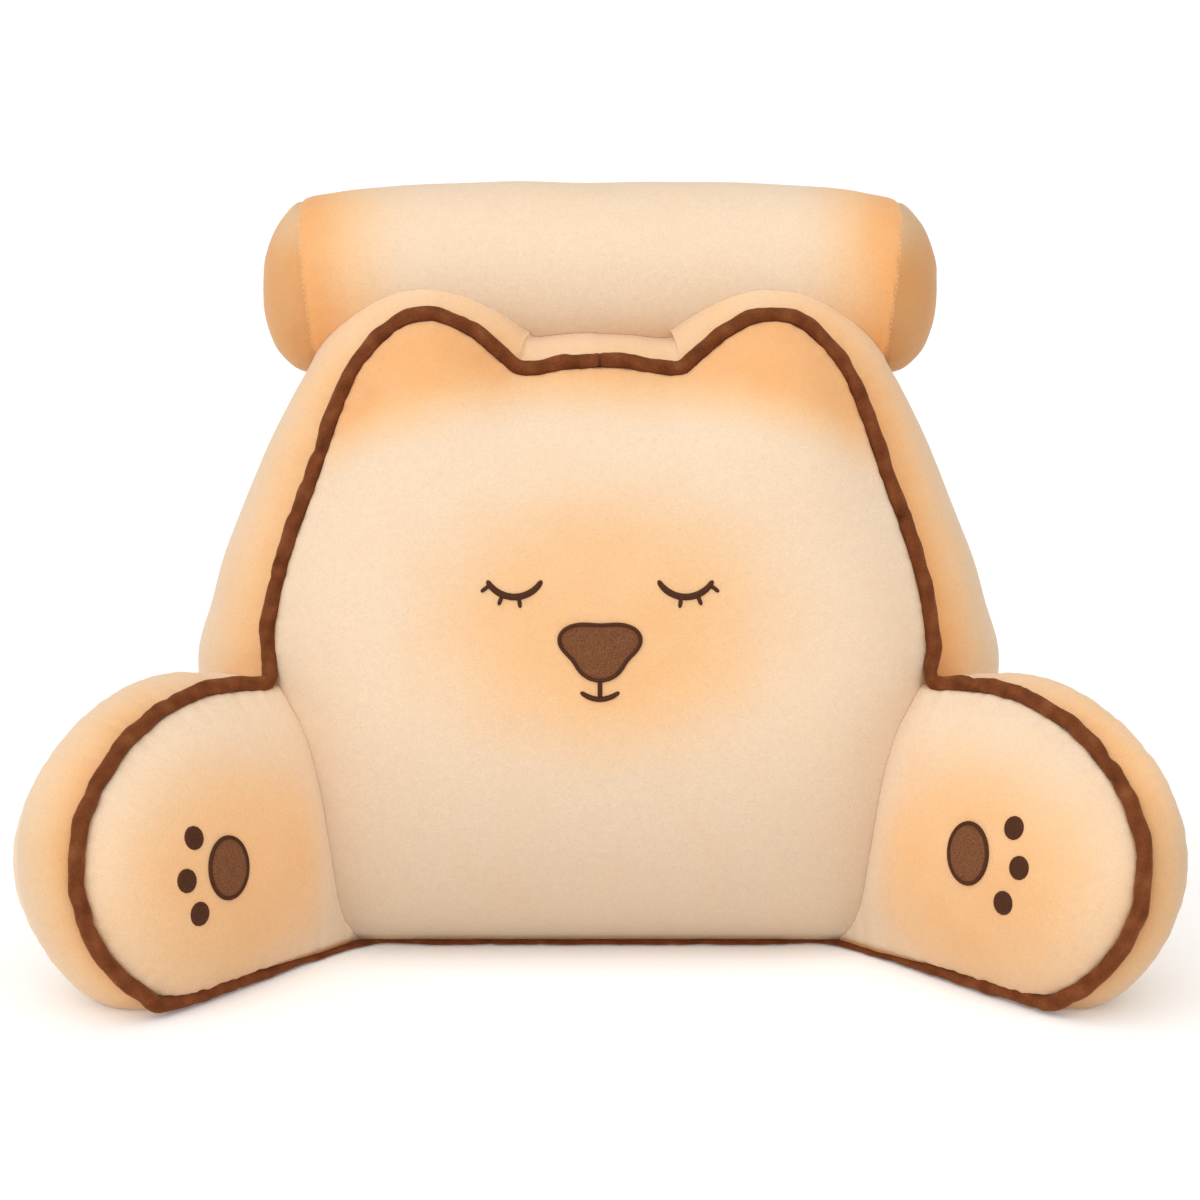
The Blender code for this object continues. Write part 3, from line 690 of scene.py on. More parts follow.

# ---------------------------------------------------------------- back cushion
# One filled cushion: the front panel leans back 12 degrees, a boxing strip runs round it, and the rear panel
# is plain. The panels crown out from their seams, the strip bulges between them, and the base is flat where
# it stands. It is sprayed round the middle of the front, on the ears and on the strip beside the piping.
# Painted shade darkens the foot of the front panel and the side strips, the right one more.
BACK_HEIGHT = 0.440
BACK_DEPTH = (0.200, 0.185)  # of the rear seam, at the floor and at the top
BACK_FLARE = (1.20, 1.03)  # how much wider the rear panel is than the front one, at the floor and at the top
BACK_CROWN_FRONT = 0.056
BACK_CROWN_REAR = 0.024
BACK_CROWN_REACH = 0.045
STRIP_SLACK_RIGHT = 0.94  # the right side is stuffed a little less than the left
BACK_FOOT_REACH = 0.030
CROWN_POWER = 0.62
BASE_SAG = 0.045
STRIP_BULGE = (0.22, 0.30)  # of the strip's width, on top and at the sides
EAR_FULLNESS = (0.075, 0.032)  # added to it over the ears and beside them
EAR_ACROSS = (0.03, 0.08)  # where it starts and is full, outward and upward
EAR_HEIGHT = (0.30, 0.38)
EAR_LOWER = 0.03  # how much lower it starts beside the ears
HIP_FULLNESS = 0.080  # added to it at the sides, behind the arms
HIP_HEIGHT = (0.175, 0.235)  # where it is full and ends
STRIP_FOOT = 0.03
BACK_CUTS = (80, 64, 26)
AT_EDGE = 0.999  # past this, a point of a box from -1 to 1 lies on its side
EAR_SPRAY = 0.88
EAR_SPRAY_HEIGHT = (0.370, 0.426)  # where its soft edge starts and ends, in the middle of the panel
EAR_SPRAY_BEND = 1.15
GLOW_CENTRE = (0.0035, 0.238)
GLOW_HALF = (0.114, 0.085)
GLOW_SPRAY = 0.66
GLOW_FADE_AND_SHADE = 1.1  # how much weaker it gets with each metre up; partly the spray, partly painted shade deepening it low down
STRIP_SPRAY = (0.38, 0.80)  # beside the piping, on top and at the sides
STRIP_SPRAY_RIGHT = 1.28  # times as much on the right side
STRIP_SPRAY_REACH = 0.040
BACK_PAINTED_SHADE = 0.24  # painted shade at the foot of the front panel, darker toward the floor
BACK_PAINTED_SHADE_HEIGHT = 0.200
STRIP_PAINTED_SHADE = (0.07, 0.12)  # painted shade on the left side and on the right one, which is turned from the light


def seam_distance(flat, line):
    """Distance to a seam that stays smooth in the middle of a panel.

    It adds up 1 / distance cubed along the line, which beside one straight seam gives the true distance.
    """
    pull = np.zeros(len(flat))
    for start, end in zip(line, line[1:]):
        length = np.linalg.norm(end - start)
        direction = (end - start) / length
        near = (flat - start) @ direction
        square = np.maximum(np.sum((flat - start) ** 2, 1) - near**2, 1e-10)
        far = length - near
        pull += (near / np.sqrt(near**2 + square) + far / np.sqrt(far**2 + square)) / square
    return np.sqrt(2 / np.maximum(pull, 1e-9))


def eased(value, amount):
    """Even steps from -1 to 1, made finer toward both ends."""
    return value * (1 - amount) + np.sin(value * math.pi / 2) * amount


def panel_between(low, high, first, last, a, b):
    """Points of a flat panel between its four seam lines, for a and b from -1 to 1."""
    u, v = (a + 1) / 2, (b + 1) / 2
    u_, v_ = u[:, None], v[:, None]
    corners = (1 - v_) * ((1 - u_) * low[0] + u_ * low[-1]) + v_ * ((1 - u_) * high[0] + u_ * high[-1])
    across = (1 - v_) * on_line(low, u) + v_ * on_line(high, u)
    return across + (1 - u_) * on_line(first, v) + u_ * on_line(last, v) - corners


def between(pair, share):
    """A value between the two of a pair."""
    return pair[0] + (pair[1] - pair[0]) * share


def crown(distance, reach, power=CROWN_POWER):
    """Share of its full crown that a panel has at a distance from a seam."""
    return (1 - np.exp(-np.maximum(distance, 0) / reach)) ** power


def cut_box(cuts):
    """A cube from -1 to 1 with a grid of faces on each side, and its points."""
    box = bmesh.new()
    bmesh.ops.create_cube(box, size=2)
    for axis, count in enumerate(cuts):
        across = [e for e in box.edges if abs((e.verts[0].co - e.verts[1].co)[axis]) > 1e-6]
        if count > 1:
            bmesh.ops.subdivide_edges(box, edges=across, cuts=count - 1, use_grid_fill=True)
    return box, np.array([vert.co for vert in box.verts]).T


def back_rear(flat, rise=0.0):
    """Places of points of the rear panel."""
    height = flat[:, 1] * math.cos(LEAN)
    share = height / BACK_HEIGHT
    return np.stack([flat[:, 0] * between(BACK_FLARE, share), between(BACK_DEPTH, share) + rise, height], 1)


def back_crown(flat):
    """Share of its full crown that a point of the front or rear panel has."""
    foot = crown(flat[:, 1] - BACK_SEAM_LIFT, BACK_FOOT_REACH, 0.5)
    return crown(seam_distance(flat, back_seam), BACK_CROWN_REACH) * foot


def back_places(a, b, c):
    """Places of the points of the filled back: a across, b up, c from front to rear, and its dye and painted
    shade.
    """
    u, v, depth = eased(a, 0.35), eased(b, 0.75), (eased(c, 0.5) + 1) / 2
    flat = panel_between(back_floor, back_top, back_left, back_right, u, v)
    on_front, on_rear, on_base = c < -AT_EDGE, c > AT_EDGE, b < -AT_EDGE
    inside = np.maximum(np.abs(a), np.abs(b)) < AT_EDGE
    rise = back_crown(flat) * inside
    front, rear = back_front(flat), back_rear(flat)
    places = front + (rear - front) * depth[:, None]
    bulge = np.cos(c * math.pi / 2)
    over = beside_line(back_top, (u + 1) / 2)
    beside = -beside_line(back_right, (v + 1) / 2) * np.stack([np.sign(a), np.ones(len(a))], 1)
    normal = np.where((b > AT_EDGE)[:, None], over, beside)
    normal[on_base] = 0
    right, sideways = normal[:, 0] > 0, normal[:, 0] ** 2
    share = np.where(right, STRIP_SLACK_RIGHT, 1.0) * between(STRIP_BULGE, sideways)
    ear = between(EAR_FULLNESS, sideways) * smooth_step(np.abs(flat[:, 0]), *EAR_ACROSS)
    share += ear * smooth_step(flat[:, 1] + EAR_LOWER * sideways, *EAR_HEIGHT)
    share += HIP_FULLNESS * sideways * (1 - smooth_step(flat[:, 1], *HIP_HEIGHT))
    out = (rear - front)[:, 1] * share * bulge * crown(flat[:, 1], STRIP_FOOT, 1)
    places += np.stack([normal[:, 0], np.zeros(len(a)), normal[:, 1]], 1) * out[:, None]
    places[on_base, 2] = np.maximum(places[on_base, 2] - BASE_SAG * bulge[on_base], 0)
    places = np.where(on_front[:, None], back_front(flat, BACK_CROWN_FRONT * rise), places)
    places = np.where(on_rear[:, None], back_rear(flat, BACK_CROWN_REAR * rise), places)

    ears = EAR_SPRAY * smooth_step(flat[:, 1] + EAR_SPRAY_BEND * flat[:, 0] ** 2, *EAR_SPRAY_HEIGHT)
    reach = np.hypot(*((flat - GLOW_CENTRE) / GLOW_HALF).T)
    glow = (1 - smooth_step(reach, 0.5, 1.5)) * (GLOW_SPRAY - GLOW_FADE_AND_SHADE * (flat[:, 1] - GLOW_CENTRE[1]))
    from_front = (rear - front)[:, 1] * depth
    strip = between(STRIP_SPRAY, sideways) * np.where(right, STRIP_SPRAY_RIGHT, 1.0)
    strip *= np.exp(-((from_front / STRIP_SPRAY_REACH) ** 1.5))
    dye = np.where(on_front & inside, np.maximum(ears, glow), strip)
    # painted shade: darker toward the floor on the front, and on the side strips
    low = BACK_PAINTED_SHADE * (1 - smooth_step(flat[:, 1], 0.0, BACK_PAINTED_SHADE_HEIGHT)) ** 0.8
    strip_nap = np.where(right, STRIP_PAINTED_SHADE[1], STRIP_PAINTED_SHADE[0]) * sideways * smooth_step(from_front, 0.0, 0.05)
    nap = np.where(on_front, low, strip_nap * ~on_rear)
    return places, dye, nap


PRESS_POWER = 0.6  # below 1, so that the cloth right at the seam still runs in under the piping
HAIR = 0.0002
CLEARANCE = 0.0003  # between cushions that lie against each other
SHARP_FROM = math.radians(50)


def settle(item):
    """Presses the cloth back where the piping lies on it, and lifts it off the floor by a hair."""
    for vert in item.data.vertices:
        nearest, index, distance = piping_tree.find(vert.co)
        clear = PIPE_RADIUS * (1 - (1 - PIPE_PRESSED) * axis_pressed[index]) + HAIR
        if distance < clear:
            vert.co = nearest + (vert.co - nearest) * (clear / max(distance, 1e-5)) ** PRESS_POWER
        vert.co.z = max(vert.co.z, HAIR)


def pucker_seam(item, seam, height, wave, seed, depth=0.0):
    """Gathers beside a seam line: small waves that die out away from it, and a groove along it."""
    places, normals = mesh_points(item.data), mesh_points(item.data, "normal")
    tree = nearest_among([Vector(place) + DRAFT for place in seam])
    found = [tree.find(place) for place in places]
    distance = np.array([hit[2] for hit in found])
    walked = np.r_[0, np.cumsum(np.linalg.norm(np.diff(seam, axis=0), axis=1))][[hit[1] for hit in found]]
    reach = wave * 0.45
    waves = height * wander(walked, wave, seed) * (distance / reach) * np.exp(1 - distance / reach)
    set_places(item.data, places + normals * (waves - depth * np.exp(-((distance / 0.002) ** 2)))[:, None])


back_box, grid = cut_box(BACK_CUTS)
back_draft, back_dye, back_nap = back_places(*grid)
back = new_piece("back_cushion_plush", back_box, back_draft, cream_plush)
write_layers(back.data, dye=back_dye, nap=back_nap)
a, b, c = grid
seam_points = (np.abs(c) > AT_EDGE) & (np.maximum(np.abs(a), np.abs(b)) > AT_EDGE)
fill_cover(back, seam_points | (b < -AT_EDGE), pressure=3.0, slack=0.012, most=0.005)
smooth_once(back)

back_outline = np.vstack([back_left, back_top, back_right[::-1]])
pucker_seam(back, back_front(back_outline), 0.0005, 0.021, 31)
pucker_seam(back, back_rear(back_outline), 0.0005, 0.024, 33, depth=0.0012)
settle(back)
back_tool, roll_tool = copy_of(back, "back_tool", CLEARANCE), copy_of(roll, "roll_tool", CLEARANCE)
cut_by(back, roll_tool)
back.data.set_sharp_from_angle(angle=SHARP_FROM)
sew_on(back, "back_cushion")

# ---------------------------------------------------------------- arms
# Each arm is an inner panel, a boxing strip and an outer panel, filled on its own and sewn to the back along
# a crease. It rests on the floor, where its filling spreads outward. It is sprayed round the paw print and
# on the strip beside the piping.
# Painted shade darkens the lower inner panels and the lower strips toward the tips, the right arm's more.
ARM_HEIGHT = 0.190
ARM_STRIP_BULGE = 0.016
ARM_SPREAD = 0.018
ARM_SPREAD_HEIGHT = 0.020
ARM_CROWN_INNER = 0.042
ARM_CROWN_OUTER = 0.048
ARM_CROWN_REACH = 0.032
ARM_ROOT_PULL = 0.45
ARM_ROOT_REACH = 0.055
ARM_CUTS = (52, 44, 16)
ARM_GLOW_CENTRE = (0.104, 0.074)
ARM_GLOW_HALF = (0.102, 0.079)
ARM_GLOW_SPRAY = 0.70
ARM_GLOW_ROOT = (0.002, 0.032)  # along from the root, where it starts and is full
ARM_SPRAY_REACH = 0.030
ARM_SPRAY = (0.32, 0.90)  # beside the piping, on top and at the tip
ARM_REAR_SPRAY = 0.05
# Painted shade: the inner panels are darker toward the floor, and the strips low down toward the tips, the
# right arm's more.
ARM_PAINTED_SHADE = 0.13
ARM_PAINTED_SHADE_HEIGHT = 0.110
ARM_STRIP_PAINTED_SHADE = {"right": 0.22, "left": 0.10}
ARM_STRIP_PAINTED_SHADE_HEIGHT = (0.105, 0.165)  # it fades out between these


def root_pull(along, amount):
    """What is left of a rise near an arm's root, where the crease holds the cloth."""
    return 1 - amount * np.exp(-np.maximum(along, 0) / ARM_ROOT_REACH)


def arm_width(arm, height):
    """Width of an arm's boxing strip at a height along its panel."""
    return between(arm.strip, height / ARM_HEIGHT)


def arm_spread(arm, height):
    """How far an arm's filling spreads at a height, where it rests on the floor."""
    return ARM_SPREAD * np.exp(-height / ARM_SPREAD_HEIGHT) * (arm.outward + arm.direction)


def arm_places(arm, strip_nap, a, b, c):
    """Places of a filled arm's points: a along, b up, c from inner to outer panel, and its dye and painted
    shade.
    """
    u, v, depth = eased(a, 0.5), eased(b, 0.6), (eased(c, 0.5) + 1) / 2
    flat = panel_between(arm_sole, arm_top, arm_root, arm_tip, u, v)
    along, up = flat.T
    on_top, on_base, on_inner, on_outer = b > AT_EDGE, b < -AT_EDGE, c < -AT_EDGE, c > AT_EDGE
    on_tip = (a > AT_EDGE) & (np.abs(b) < AT_EDGE)
    inside = (a < AT_EDGE) & (np.abs(b) < AT_EDGE)
    rise = crown(seam_distance(flat, arm_seam), ARM_CROWN_REACH) * root_pull(along, ARM_ROOT_PULL) * inside
    width = arm_width(arm, up)
    inner = arm.inner_seam(flat)
    spread = arm_spread(arm, up[:, None]) * depth[:, None]
    bulge = np.cos(c * math.pi / 2)
    outer = inner + arm.outward * width[:, None]
    places = inner + (outer - inner) * depth[:, None] + spread
    over, beyond = beside_line(arm_top, (u + 1) / 2), -beside_line(arm_tip, (v + 1) / 2)
    normal = over * on_top[:, None] + beyond * on_tip[:, None]
    out = bulge * ARM_STRIP_BULGE * root_pull(along, 1.0)
    places += (arm.direction * normal[:, :1] + arm.up * normal[:, 1:]) * out[:, None]
    places[on_base, 2] = np.maximum(places[on_base, 2] - BASE_SAG * bulge[on_base], 0)
    places = np.where(on_inner[:, None], inner + arm.inward * (ARM_CROWN_INNER * rise)[:, None], places)
    crowned = outer - arm.inward * (ARM_CROWN_OUTER * rise)[:, None] + spread
    places = np.where(on_outer[:, None], crowned, places)

    reach = np.hypot(*((flat - ARM_GLOW_CENTRE) / ARM_GLOW_HALF).T)
    glow = ARM_GLOW_SPRAY * (1 - smooth_step(reach, 0.45, 1.45)) * smooth_step(along, *ARM_GLOW_ROOT)
    strip = np.where(on_top, between(ARM_SPRAY, smooth_step(a, -0.2, 1.0)), ARM_SPRAY[1])
    strip = strip * np.exp(-((width * depth / ARM_SPRAY_REACH) ** 1.3))
    dye = np.where(on_inner & inside, glow, np.where(on_outer & inside, ARM_REAR_SPRAY, strip))
    low = ARM_PAINTED_SHADE * (1 - smooth_step(up, 0.0, ARM_PAINTED_SHADE_HEIGHT))
    strip_nap = strip_nap * smooth_step(a, 0.0, 1.0) * (1 - smooth_step(up, *ARM_STRIP_PAINTED_SHADE_HEIGHT))
    return places, dye, np.where(on_inner, low, strip_nap * ~on_outer)


arm_outline = np.vstack([arm_sole, arm_tip, arm_top[::-1]])
dressed_arms = {}
for index, (side, arm) in enumerate(ARMS.items()):
    box, grid = cut_box(ARM_CUTS)
    draft, dye, nap = arm_places(arm, ARM_STRIP_PAINTED_SHADE[side], *grid)
    item = new_piece("arm_" + side + "_plush", box, draft, cream_plush)
    write_layers(item.data, dye=dye, nap=nap)
    a, b, c = grid
    edge = (np.abs(c) > AT_EDGE) & ((a > AT_EDGE) | (np.abs(b) > AT_EDGE))
    root = a < -0.9
    fill_cover(item, edge | (b < -AT_EDGE) | root, pressure=3.0, slack=0.012, most=0.004)
    smooth_once(item)
    height = arm_outline[:, 1:]
    inner_line = arm.inner_seam(arm_outline)
    outer_line = inner_line + arm.outward * arm_width(arm, height) + arm_spread(arm, height)
    pucker_seam(item, inner_line, 0.0005, 0.019, 41 + index)
    pucker_seam(item, outer_line, 0.0003, 0.022, 45 + index, depth=0.0010)
    settle(item)
    cut_by(item, back_tool)
    item.data.set_sharp_from_angle(angle=SHARP_FROM)
    sew_on(item, "arm_" + side)
    dressed_arms[side] = item

for tool in (back_tool, roll_tool):
    bpy.data.objects.remove(tool)

# ---------------------------------------------------------------- paw prints
# On each arm an oval pad of brushed felt is laid on the velour and held by a raised satin stitch border, with
# three toes of plain satin stitch beside it. The threads run side by side, which shows as fine ridges.
THREAD = 0.0014  # ridges, 0.4 mm apart in the real stitch, drawn as coarse as they need to show
FELT_SPECK = 0.0009
FELT_THICKNESS = 0.0014
UNDER_CLOTH = -0.0007  # how deep the back of each applique and stitch is sunk into the pile
BORDER_WIDTH = 0.0029
BORDER_HEIGHT = 0.0017
PAD_HALF = (0.0163, 0.0204)
TOE_HALF = (0.0076, 0.0081)
TOE_HEIGHT = 0.0019
TOE_SLANTS = (0.15, -0.05, 0.25)  # of their threads, in radians
TOE_PIXELS = {
    # where the toes' middles lie in the photograph
    "right": ((1014, 828), (1019, 868), (1003, 903)),
    "left": ((194, 838), (187, 881), (200, 914)),
}
PHOTO_SIZE = 1200
LAID_FROM = 0.09  # how far out of the cloth a piece is held before it is laid on it


def fibre(name, dark, light, grain, depth, roughness, sheen):
    """Cloth or thread of two shades of one colour, mixed by its grain."""
    material, shader = new_material(
        name, Roughness=roughness, Sheen_Weight=sheen, Sheen_Roughness=0.4, Specular_IOR_Level=0.2
    )
    tree = material.node_tree
    place = add_node(tree, "ShaderNodeTexCoord").outputs["Object"]
    fine = add_node(tree, "ShaderNodeTexNoise", Vector=place, Scale=1 / grain, Detail=3.0, Roughness=0.7)
    ramp = add_node(tree, "ShaderNodeValToRGB", Fac=fine.outputs["Fac"])
    for element, position, colour in zip(ramp.color_ramp.elements, (0.36, 0.64), (dark, light)):
        element.position = position
        element.color = linear(colour)
    tree.links.new(ramp.outputs["Color"], shader.inputs["Base Color"])
    bump = add_node(tree, "ShaderNodeBump", Height=fine.outputs["Fac"], Strength=0.6, Distance=depth)
    tree.links.new(bump.outputs["Normal"], shader.inputs["Normal"])
    return material


# Brushed felt is dull and speckled all over. Rayon thread lies flat and close, so it is darker and smoother.
brown_felt = fibre("brushed_felt", "5F3721", "885838", FELT_SPECK, 0.0005, roughness=0.95, sheen=0.08)
brown_thread = fibre("rayon_satin_stitch", "3D1E0B", "542C12", THREAD / 2, 0.0002, roughness=0.6, sheen=0.03)


def cloth_of(item):
    """The piece's surface, to lay things on."""
    return BVHTree.FromObject(item, bpy.context.evaluated_depsgraph_get())


def seen_at(surface, pixel):
    """Where a pixel of the photograph shows the surface, and how far that is from the camera."""
    reach = CAMERA_LENS / CAMERA_SENSOR * PHOTO_SIZE
    sight = Vector((pixel[0] - PHOTO_SIZE / 2, PHOTO_SIZE / 2 - pixel[1], -reach))
    sight.rotate(camera.rotation_euler)
    place, _, _, distance = surface.ray_cast(camera.location, sight.normalized())
    return place, distance


class Patch:
    """A place on the cloth, with directions across it, up it and out of it."""

    def __init__(self, surface, centre, facing):
        self.surface = surface
        self.centre = centre
        self.out = Vector(facing).normalized()
        across = Vector((1.0, 0.0, 0.0))
        self.across = (across - self.out * across.dot(self.out)).normalized()
        self.up = self.out.cross(self.across)

    def lay(self, flat, rise):
        """Places in the draft of flat points laid on the cloth, each with its rise out of it."""
        places = []
        for (x, y), height in zip(flat, rise):
            start = self.centre + self.across * x + self.up * y
            hit = self.surface.ray_cast(start + self.out * LAID_FROM, -self.out)[0]
            places.append((hit or start) + self.out * height - DRAFT)
        return places


def rounded(turn, half, corners):
    """Points of an oval, or of a triangle with round corners, by their turn."""
    reach = 1 + corners * np.sin(3 * turn)
    return np.stack([half[0] * np.cos(turn) * reach, half[1] * np.sin(turn) * reach], -1)


def disc(cuts):
    """A flat round cushion of one unit as a bmesh, its points' turn, distance from the middle, and side."""
    box, (a, b, c) = cut_box((cuts, cuts, 1))
    x, y = a * np.sqrt(1 - b**2 / 2), b * np.sqrt(1 - a**2 / 2)
    return box, np.arctan2(y, x), np.hypot(x, y), c


def felt_patch(name, patch, half, corners=0.0):
    """A flat piece of felt with a rounded edge."""
    box, turn, far, side = disc(26)
    flat = rounded(turn, half, corners) * far[:, None]
    rise = np.where(side > 0, FELT_THICKNESS * (1 - 0.5 * far**8), UNDER_CLOTH)
    return new_piece(name, box, patch.lay(flat, rise), brown_felt)


def satin_border(name, patch, half, corners=0.0):
    """Satin stitch over the edge of a felt patch: threads side by side, square to the edge."""
    outline = rounded(np.linspace(0, math.tau, 721), half, corners)
    ridges = round(length_of(outline) / THREAD)
    tube, share, angle = ring(ridges * 3, 8)
    turn = share * math.tau
    along = rounded(turn + 0.01, half, corners) - rounded(turn - 0.01, half, corners)
    outward = np.stack([along[:, 1], -along[:, 0]], 1) / np.linalg.norm(along, axis=1, keepdims=True)
    ridge = np.cos(math.tau * (ridges * share + 0.35 * np.cos(angle)))
    out = np.cos(angle) * BORDER_WIDTH / 2 * (1 + 0.06 * ridge)
    flat = rounded(turn, half, corners) + outward * out[:, None]
    rise = np.maximum(np.sin(angle) * BORDER_HEIGHT * (1 + 0.14 * ridge), UNDER_CLOTH) + FELT_THICKNESS / 3
    return new_piece(name, tube, patch.lay(flat, rise), brown_thread)


def satin_toe(name, patch, half, slant):
    """A small solid oval of satin stitch, its threads running at a slant."""
    box, turn, far, side = disc(38)
    flat = rounded(turn, half, 0.0) * far[:, None]
    ridge = np.cos(math.tau * (flat[:, 0] * math.sin(slant) + flat[:, 1] * math.cos(slant)) / THREAD)
    dome = TOE_HEIGHT * (1 - far**4) ** 0.5 + 0.00016 * ridge * (1 - far**6)
    flat *= 1 + 0.015 * (ridge * far**3)[:, None]
    return new_piece(name, box, patch.lay(flat, np.where(side > 0, dome, UNDER_CLOTH)), brown_thread)


for side, arm in ARMS.items():
    surface = cloth_of(dressed_arms[side])
    low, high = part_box("paw_pad_" + side)
    pad = Patch(surface, (low + high) / 2, arm.inward)
    sew_on(felt_patch("paw_pad_" + side + "_felt", pad, PAD_HALF), "paw_pad_" + side)
    sew_on(satin_border("paw_pad_" + side + "_border", pad, PAD_HALF))
    for number, (pixel, slant) in enumerate(zip(TOE_PIXELS[side], TOE_SLANTS), 1):
        toe = Patch(surface, seen_at(surface, pixel)[0], arm.inward)
        sew_on(satin_toe("toe_%s_%d" % (side, number), toe, TOE_HALF, slant * arm.side[0]))

# ---------------------------------------------------------------- face
# A plain sleeping face: a felt nose with a satin border, and closed eyes, lashes and a small mouth in satin
# stitch. The strokes are padded underneath, so they stand up round from the velour.
NOSE_FLAT = (0.0, 0.218)  # across and up the front panel
NOSE_HALF = (0.026, 0.019)
NOSE_CORNERS = 0.16
EYE_FLAT = (0.0590, 0.2750)
EYE_RADIUS = 0.0215
EYE_SPREAD = math.radians(62)
LASH_TURNS = (math.radians(-52), math.radians(-22), math.radians(8))
LASH_LENGTH = 0.0080
STROKE_HALF = 0.0024
STROKE_HEIGHT = 0.0019
MOUTH_TOP = 0.1960
MOUTH_LOW = 0.1830
MOUTH_HALF = 0.0135
MOUTH_RISE = 0.0050


def satin_stroke(name, patch, path, half_width, taper=0.35):
    """A raised line of satin stitch along a flat path, narrowing toward its ends."""
    path = smooth_line(path, 120)
    length = length_of(path)
    ridges = max(round(length / THREAD), 3)
    box, (a, b, c) = cut_box((ridges * 4, 8, 1))
    share = (a + 1) / 2
    tip = half_width / length * 2
    ends = np.minimum(1 - np.abs(a), tip) / tip
    narrow = np.sqrt(np.maximum(1 - (1 - ends) ** 2, 0.02)) * (1 - taper * a**4)
    ridge = np.cos(math.tau * (ridges * share + 0.3 * b))
    middle, beside = on_line(path, share), beside_line(path, share)
    flat = middle + beside * (b * half_width * narrow * (1 + 0.05 * ridge))[:, None]
    rise = STROKE_HEIGHT * np.sqrt(1 - b**2) * narrow * (1 + 0.12 * ridge)
    rise = np.where(c > 0, rise, UNDER_CLOTH)
    return new_piece(name, box, patch.lay(flat, rise), brown_thread)


front_panel = Patch(cloth_of(back), DRAFT.copy(), (0, -math.cos(LEAN), math.sin(LEAN)))
nose = Patch(front_panel.surface, Vector(back_front(np.array(NOSE_FLAT))) + DRAFT, front_panel.out)
sew_on(felt_patch("nose_felt", nose, NOSE_HALF, NOSE_CORNERS), "nose_patch")
sew_on(satin_border("nose_border", nose, NOSE_HALF, NOSE_CORNERS))

for name, side in (("right", 1), ("left", -1)):
    middle = np.array((EYE_FLAT[0] * side, EYE_FLAT[1]))
    turn = np.linspace(-EYE_SPREAD, EYE_SPREAD, 9)
    lid = middle + EYE_RADIUS * np.stack([np.sin(turn), -np.cos(turn)], 1)
    sew_on(satin_stroke("eye_" + name, front_panel, lid, STROKE_HALF))
    for number, turn in enumerate(LASH_TURNS, 1):
        ray = np.array((-math.sin(turn) * side, -math.cos(turn)))
        path = [middle + ray * (EYE_RADIUS + reach) for reach in (0.0, LASH_LENGTH / 2, LASH_LENGTH)]
        lash = satin_stroke("lash_%s_%d" % (name, number), front_panel, path, STROKE_HALF * 0.6, taper=0.5)
        sew_on(lash)

mouth_turn = np.linspace(-1, 1, 7)
smile = np.stack([MOUTH_HALF * mouth_turn, MOUTH_LOW + MOUTH_RISE * mouth_turn**2], 1)
sew_on(satin_stroke("mouth", front_panel, smile, STROKE_HALF * 0.8))
stem = [(0.0, MOUTH_TOP), (0.0, (MOUTH_TOP + MOUTH_LOW) / 2), (0.0, MOUTH_LOW + 0.0005)]
sew_on(satin_stroke("mouth_stem", front_panel, stem, STROKE_HALF * 0.7, taper=0.1))

# ---------------------------------------------------------------- seam stitches
# Where no piping hides the sewing, short stitches of cotton thread show in the seam: round the roll's end
# caps, down the creases beside the arms, and where the roll is sewn on between the ears.
STITCH_PITCH = 0.0042
STITCH_LENGTH = 0.0021
STITCH_THICKNESS = 0.00035
CREASE_ROWS = (712, 930)  # pixel rows of the photograph between which the creases are seen
CREASE_COLUMNS = (450, 210)  # on the left, from the back to the arm
JOIN_COLUMNS = (536, 668)
JOIN_ROWS = (356, 300)

# Cotton thread is matt. The pale copy is for the cap seams; the tan copy is the same thread darkened as
# painted shade, for the creases and the join.
pale_thread = fibre("cotton_thread_pale", "E6BE97", "F4D3B2", 0.0006, 0.0001, roughness=0.8, sheen=0.2)
thread_in_painted_shade = fibre("cotton_thread_in_painted_shade", "C08D70", "DDB296", 0.0006, 0.0001, roughness=0.8, sheen=0.2)


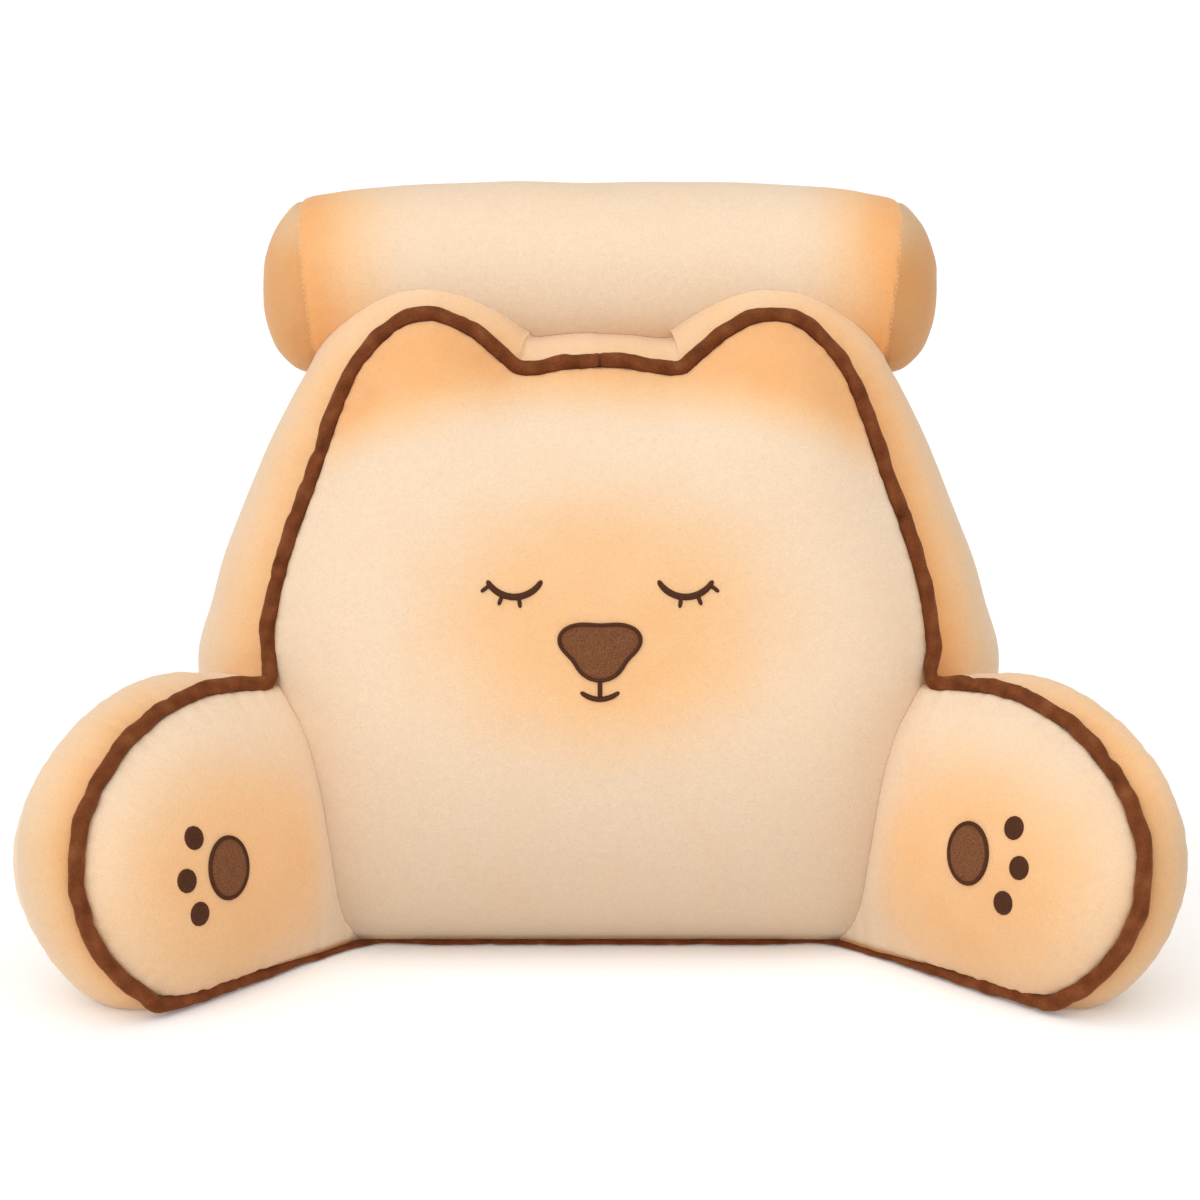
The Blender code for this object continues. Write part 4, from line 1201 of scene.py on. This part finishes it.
def stitch_row(name, places, thread):
    """Short stitches, evenly spaced along a line."""
    stations = even_line(np.array(places, float), 2 * round(length_of(places) / STITCH_PITCH) + 1)
    shape = bmesh.new()
    for start, middle, end in zip(stations[:-2:2], stations[1:-1:2], stations[2::2]):
        turn = Vector(end - start).to_track_quat("X", "Z").to_matrix().to_4x4()
        size = Matrix.Diagonal((STITCH_LENGTH / 2, STITCH_THICKNESS, STITCH_THICKNESS, 1))
        laid = Matrix.Translation(middle) @ turn @ size
        bmesh.ops.create_icosphere(shape, subdivisions=1, radius=1, matrix=laid)
    sew_on(new_piece(name, shape, [vert.co - DRAFT for vert in shape.verts], thread))


def meeting_point(first, second, start, end):
    """Where the cloth that the camera sees changes from one piece to another, between two pixels."""
    start, end = np.array(start, float), np.array(end, float)
    for _ in range(16):
        middle = (start + end) / 2
        first_far, second_far = seen_at(first, middle)[1], seen_at(second, middle)[1]
        on_second = second_far is not None and (first_far is None or second_far < first_far)
        start, end = (start, middle) if on_second else (middle, end)
    return seen_at(first, start)[0]


roll_surface = cloth_of(roll)
for name, side in (("right", 1), ("left", -1)):
    seam = []
    for angle in np.linspace(0, math.tau, 97):
        along = side * cap_seam(angle)
        axis = Vector((along, ROLL_CENTRE_Y, ROLL_CENTRE_Z - roll_droop(along))) + DRAFT
        seam.append(roll_surface.ray_cast(axis, Vector((0, -math.cos(angle), math.sin(angle))))[0])
    stitch_row("cap_stitches_" + name, seam, pale_thread)
    arm_surface = cloth_of(dressed_arms[name])
    crease = []
    from_back, to_arm = (PHOTO_SIZE - column if side > 0 else column for column in CREASE_COLUMNS)
    for row in np.linspace(*CREASE_ROWS, 40):
        crease.append(meeting_point(front_panel.surface, arm_surface, (from_back, row), (to_arm, row)))
    stitch_row("crease_stitches_" + name, crease, thread_in_painted_shade)

join = [
    meeting_point(front_panel.surface, roll_surface, (column, JOIN_ROWS[0]), (column, JOIN_ROWS[1]))
    for column in np.linspace(*JOIN_COLUMNS, 24)
]
stitch_row("join_stitches", join, thread_in_painted_shade)
